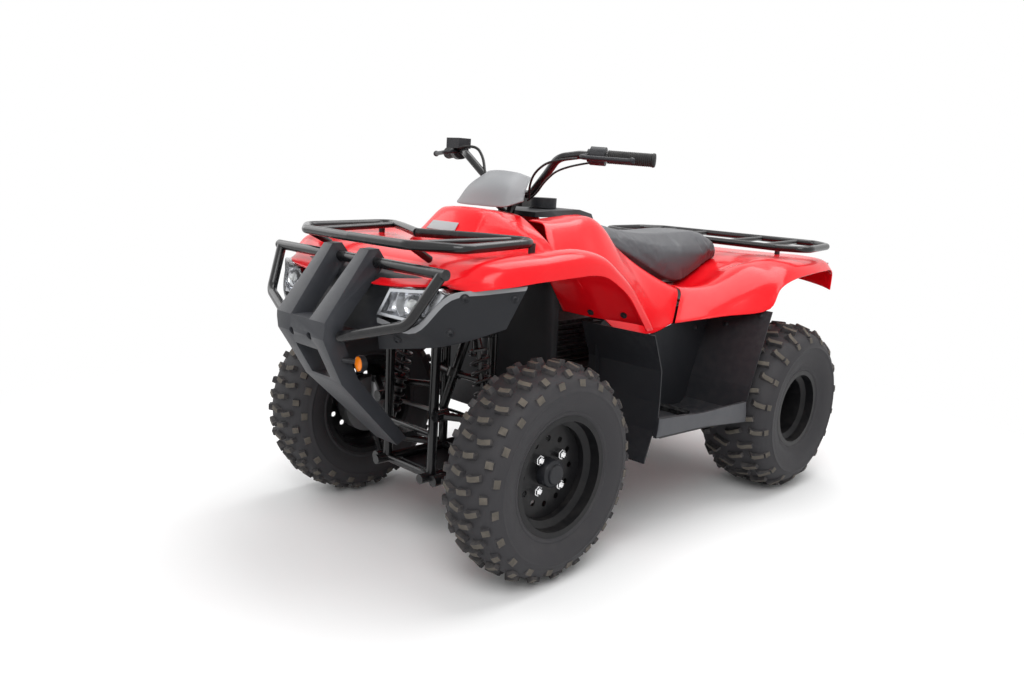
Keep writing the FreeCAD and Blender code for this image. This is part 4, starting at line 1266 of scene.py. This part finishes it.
@dataclass
class Lights(Assembly):
    """Headlamps with their bowls, and amber reflectors."""

    reflector_face: Point = (0.1195, -0.866, 0.528)
    reflector_way: Point = (-0.12, -0.99, 0.0)
    arm_start: Point = (0.0840, -0.8895, 0.5330)
    arm_end: Point = (0.119, -0.854, 0.529)
    housing_gap: float = 0.0012
    housing_rim: float = 0.007
    housing_depth: float = 0.030
    lens_proud: float = 0.004
    lens_edge: float = 0.0025
    bowl_back: Point = (0.243, -0.800, 0.683)
    bowl_way: Point = (0.18, -0.98, 0.02)

    def housing(self) -> Thing:
        """Silver inside of the left lamp: its outline drawn in, with a sunken front."""
        piece = copied(bpy.data.objects["headlamps"], "lamp_housing_left")
        with editing(piece):
            pick(piece, lambda middle, normal: middle.x < 0)
            bpy.ops.mesh.delete(type="FACE")
            merged(CAD_WELD)
            bpy.ops.transform.shrink_fatten(value=-self.housing_gap)
            pick(piece, lambda middle, normal: normal.y < -0.3)
            bpy.ops.mesh.inset(thickness=self.housing_rim)
            extruded((0.0, self.housing_depth, 0.0))
            bpy.ops.transform.resize(value=(0.82, 1, 0.8))
        return tidied(piece, 20)

    def lens(self) -> Thing:
        """Clear lenses of both lamps, a little prouder than the solids."""
        piece = copied(bpy.data.objects["headlamps"], "headlamps_lens")
        with editing(piece):
            merged(CAD_WELD)
            bpy.ops.transform.shrink_fatten(value=self.lens_proud)
        return tidied(rounded(piece, self.lens_edge, 3, 12), 30)

    def bowl(self) -> Thing:
        """Round reflector with its bulb, inside the left lamp."""
        bowl = turned("lamp_bowl_left", [
            (0.000, 0.011), (0.002, 0.020), (0.007, 0.028), (0.015, 0.034), (0.024, 0.038),
            (0.024, 0.0395), (0.014, 0.0360), (0.006, 0.030), (-0.001, 0.022), (-0.003, 0.011)],
            48, closed=True)
        bulb = turned("lamp_bulb_left", [(-0.004, 0.0105), (0.008, 0.0105), (0.009, 0.0085),
                                         (0.022, 0.0085), (0.026, 0.0066), (0.028, 0.0030)], 32)
        pair = [self.painted(bowl, "lamp_silver"), self.painted(bulb, "lamp_bulb")]
        return placed(joined(pair, "lamp_bowl_left"), along(self.bowl_back, self.bowl_way))

    def reflector(self) -> Thing:
        """Left amber reflector: cut like a stone, in a dark cup on an arm."""
        cup = turned("reflectors_cup", [(-0.014, 0.012), (-0.012, 0.0185), (0.0, 0.0205),
                                        (0.003, 0.0205), (0.003, 0.0185), (-0.002, 0.0180),
                                        (-0.002, 0.004)], 40)
        amber = turned("reflectors_lens", [(-0.001, 0.0178), (0.0035, 0.0178), (0.0062, 0.0110),
                                           (0.0076, 0.0040)], 10, angle=12.0)
        run = Vector(self.arm_end) - Vector(self.arm_start)
        arm = turned("reflectors_arm", [(0.0, 0.006), (run.length, 0.006)], 20)
        for piece, look, start, way in (
                (cup, "dark_plastic", self.reflector_face, self.reflector_way),
                (amber, "amber_lens", self.reflector_face, self.reflector_way),
                (arm, "dark_plastic", self.arm_start, run)):
            placed(self.painted(piece, look), along(start, way))
        return joined([cup, amber, arm], "reflectors_cut")

    def build(self) -> None:
        """Build and dress every lamp; the housings go first, from the solids of the lamps."""
        self.finished(paired(self.housing(), "lamp_housings"), "bright_steel", "lamp_silver")
        self.finished(self.lens(), "lamp_lens", "lamp_lens", "headlamps")
        self.finished(paired(self.bowl(), "lamp_bowls"), "bright_steel", None)
        self.finished(paired(self.reflector(), "reflectors_cut"), "amber_lens", None, "reflectors")


@dataclass
class Springs(Assembly):
    """Front dampers with their open coil springs."""

    foot: Point = (0.232, -0.513, 0.2143)
    head: Point = (0.134, -0.513, 0.566)
    coils: int = 9
    spring_radius: float = 0.0235
    wire: float = 0.0038
    coil_foot: float = 0.085
    coil_head: float = 0.045

    def spring(self, start: float, end: float) -> Thing:
        """Wind a coil up the Z axis.

        Args:
            start: Height of its first turn.
            end: Height of its last turn.

        Returns:
            The coil.
        """
        piece = added("circle", "front_shocks_spring", vertices=10, radius=self.wire,
                      fill_type="NOTHING", location=(self.spring_radius, 0, start),
                      rotation=(math.pi / 2, 0, 0))
        bpy.ops.object.transform_apply(location=True, rotation=True, scale=True)
        modified(piece, "SCREW", angle=math.tau, screw_offset=(end - start) / self.coils,
                 iterations=self.coils, steps=28, render_steps=28, use_smooth_shade=True)
        return tidied(piece, 60)

    def eye(self, height: float) -> Thing:
        """Rubber-bushed eye of a damper at a height up the Z axis."""
        eye = added("torus", "front_shocks_eye", major_radius=0.0105, minor_radius=0.0042,
                    major_segments=28, minor_segments=10, location=(0, 0, height),
                    rotation=(math.pi / 2, 0, 0))
        with editing(eye):
            bpy.ops.transform.resize(value=(1, 2.6, 1), center_override=(0, 0, height))
        return tidied(placed(eye, Matrix.Identity(4)), 60)

    def build(self) -> None:
        """Build and dress both dampers."""
        run = Vector(self.head) - Vector(self.foot)
        reach = run.length
        coil = self.painted(self.spring(self.coil_foot, reach - self.coil_head), "spring_paint")
        body = turned("front_shocks_body", [
            (0.0, 0.010), (0.012, 0.013), (0.030, 0.015), (0.060, 0.0165), (0.074, 0.0165),
            (0.076, 0.0265), (0.081, 0.0265), (0.083, 0.0170), (0.190, 0.0170), (0.192, 0.0070),
            (reach - 0.044, 0.0070), (reach - 0.043, 0.0265), (reach - 0.038, 0.0265),
            (reach - 0.034, 0.014), (reach - 0.012, 0.012), (reach, 0.010)], 32, angle=30.0)
        metal = [self.painted(piece, "black_steel")
                 for piece in (body, self.eye(0.0), self.eye(reach))]
        whole = placed(joined([coil, *metal], "front_shocks_sprung"), along(self.foot, run))
        self.finished(paired(whole, "front_shocks_sprung"), "black_steel", None, "front_shocks")


@dataclass
class Underparts(Assembly):
    """Cooling fins of the engine and the dark splash guard ahead of it."""

    fins: int = 8
    fin_size: Point = (0.176, 0.226, 0.0035)
    fin_low: Point = (0.0, -0.055, 0.440)
    fin_pitch: float = 0.0155
    fin_edge: float = 0.0012

    def cooling_fins(self) -> Thing:
        """Stack of thin fins round the upper part of the engine."""
        fin = added("cube", "engine_fins", size=1.0)
        with editing(fin):
            bpy.ops.transform.resize(value=self.fin_size)
        modified(fin, "BEVEL", width=self.fin_edge, segments=2)
        x, y, low = self.fin_low
        return repeated(fin, "engine_fins", [Matrix.Translation((x, y, low + n * self.fin_pitch))
                                             for n in range(self.fins)])

    def splash_guard(self) -> Sheet:
        """Dark sheet behind the front dampers."""
        return Sheet("splash_guard", [
            [(0, -222, 212), (80, -222, 212), (140, -214, 214), (150, -196, 218)],
            [(0, -236, 360), (80, -236, 360), (140, -228, 362), (150, -205, 366)],
            [(0, -244, 520), (80, -244, 520), (142, -236, 522), (152, -212, 526)],
            [(0, -250, 690), (80, -250, 690), (142, -242, 690), (152, -218, 690)],
        ], 4)

    def build(self) -> None:
        """Build and dress both."""
        self.finished(self.cooling_fins(), "engine_metal", "engine_metal")
        self.finished(self.splash_guard().whole(), "dark_plastic", "dark_plastic")


@dataclass
class Studio:
    """Camera at the photograph's viewpoint, with a pale floor and soft lamps."""

    eye: Point = (1.726, -1.9998, 0.9828)
    yaw: float = 44.48
    pitch: float = 11.14
    roll: float = 3.31
    lens: float = 30.0
    sensor: float = 36.0
    floor_side: float = 60.0
    floor_drop: float = -0.0012
    floor_colour: Colour = (0.93, 0.93, 0.93)
    floor_rough: float = 0.9
    light: float = 0.5
    near: float = 1.1
    far: float = 2.3

    def camera(self) -> None:
        """Place the camera."""
        data = bpy.data.cameras.new("camera")
        data.lens = self.lens
        data.sensor_width = self.sensor
        camera = bpy.data.objects.new("camera", data)
        bpy.context.scene.collection.objects.link(camera)
        turn = (Matrix.Rotation(math.radians(self.yaw), 3, "Z")
                @ Matrix.Rotation(math.radians(90 - self.pitch), 3, "X")
                @ Matrix.Rotation(math.radians(self.roll), 3, "Z"))
        camera.matrix_world = Matrix.Translation(self.eye) @ turn.to_4x4()
        bpy.context.scene.camera = camera

    def lamp(self, name: str, place: Point, aim: Point, size: float, power: float) -> None:
        """Add a square soft lamp.

        Args:
            name: The lamp's name.
            place: Where it hangs.
            aim: The point that it faces.
            size: Its side.
            power: Its power in watts.
        """
        data = bpy.data.lights.new(name, "AREA")
        data.size = size
        data.energy = power
        lamp = bpy.data.objects.new(name, data)
        turn = (Vector(aim) - Vector(place)).to_track_quat("-Z", "Y").to_matrix().to_4x4()
        lamp.matrix_world = Matrix.Translation(place) @ turn
        bpy.context.scene.collection.objects.link(lamp)

    def seen(self, tree: Tree) -> bpy.types.NodeSocket:
        """Say whether a ray shows the background: straight, mirrored or through a lens.

        Args:
            tree: The material or world that asks.

        Returns:
            The socket that is 1 for such rays.
        """
        rays = add_node(tree, "ShaderNodeLightPath")
        direct = add_node(tree, "ShaderNodeMath", operation="ADD")
        every = add_node(tree, "ShaderNodeMath", operation="ADD", use_clamp=True)
        wired(tree, (rays, "Is Camera Ray", direct, 0), (rays, "Is Glossy Ray", direct, 1),
              (direct, "Value", every, 0), (rays, "Is Transmission Ray", every, 1))
        return every.outputs["Value"]

    def floor(self) -> None:
        """Lay a plain pale floor that keeps the shadow and fades to white further out."""
        plane = added("plane", "floor", size=self.floor_side, location=(0.0, 0.0, self.floor_drop))
        made, shader = new_material("floor", {"Base Color": (*self.floor_colour, 1.0),
                                              "Roughness": self.floor_rough})
        tree = made.node_tree
        place = add_node(tree, "ShaderNodeTexCoord")
        reach = add_node(tree, "ShaderNodeVectorMath", operation="LENGTH")
        fade = add_node(tree, "ShaderNodeMapRange", interpolation_type="SMOOTHSTEP",
                        in_1=self.near, in_2=self.far)
        share = add_node(tree, "ShaderNodeMath", operation="MULTIPLY")
        plain = add_node(tree, "ShaderNodeEmission", in_0=WHITE, in_1=1.0)
        mix = add_node(tree, "ShaderNodeMixShader")
        tree.links.new(self.seen(tree), share.inputs[1])
        wired(tree, (place, "Object", reach, 0), (reach, "Value", fade, "Value"),
              (fade, "Result", share, 0), (share, "Value", mix, 0), (shader, 0, mix, 1),
              (plain, 0, mix, 2), (mix, 0, tree.nodes["Material Output"], "Surface"))
        plane.data.materials.append(made)

    def sky(self) -> None:
        """Light the scene evenly from all round, with a white background for the camera."""
        world = bpy.data.worlds.new("studio")
        bpy.context.scene.world = world
        world.use_nodes = True
        tree = world.node_tree
        plain = tree.nodes["Background"]
        plain.inputs["Color"].default_value = WHITE
        plain.inputs["Strength"].default_value = self.light
        white = add_node(tree, "ShaderNodeBackground", in_0=WHITE, in_1=1.0)
        mix = add_node(tree, "ShaderNodeMixShader")
        tree.links.new(self.seen(tree), mix.inputs[0])
        wired(tree, (plain, 0, mix, 1), (white, 0, mix, 2),
              (mix, 0, tree.nodes["World Output"], "Surface"))

    def build(self) -> None:
        """Set up camera, floor and lamps."""
        self.camera()
        self.floor()
        self.sky()
        self.lamp("key", (2.2, -2.6, 3.2), (0.0, -0.1, 0.5), 2.2, 84.0)
        self.lamp("fill", (-3.2, -1.4, 2.4), (0.0, 0.0, 0.5), 2.6, 35.0)
        self.lamp("top", (0.2, 0.9, 3.6), (0.0, 0.0, 0.6), 3.0, 100.0)
        bpy.context.scene.view_settings.view_transform = "Standard"


def dress(frame: dict[str, object], materials: Materials) -> None:
    """Give each node of the frame the material of its slot in the record.

    Args:
        frame: What the frame's loader returned.
        materials: The finished materials by slot.
    """
    for row in frame["record"]["subparts"]:
        node = frame["nodes"][row["node"]]
        node.data.materials.clear()
        node.data.materials.append(materials[row["material_slot"]])


def main() -> None:
    """Build the whole scene."""
    logging.basicConfig(level=logging.INFO)
    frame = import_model()
    bpy.ops.object.select_all(action="DESELECT")
    Studio().build()
    shop = Workshop.opened()
    materials = {finish.name: finish.material(shop) for finish in FINISHES}
    dress(frame, materials)
    for assembly in (Wheels, Bodywork, Lights, Springs, Underparts, Handlebar, Seat):
        assembly(materials).build()
    LOG.info("built")


if __name__ == "__main__":
    main()
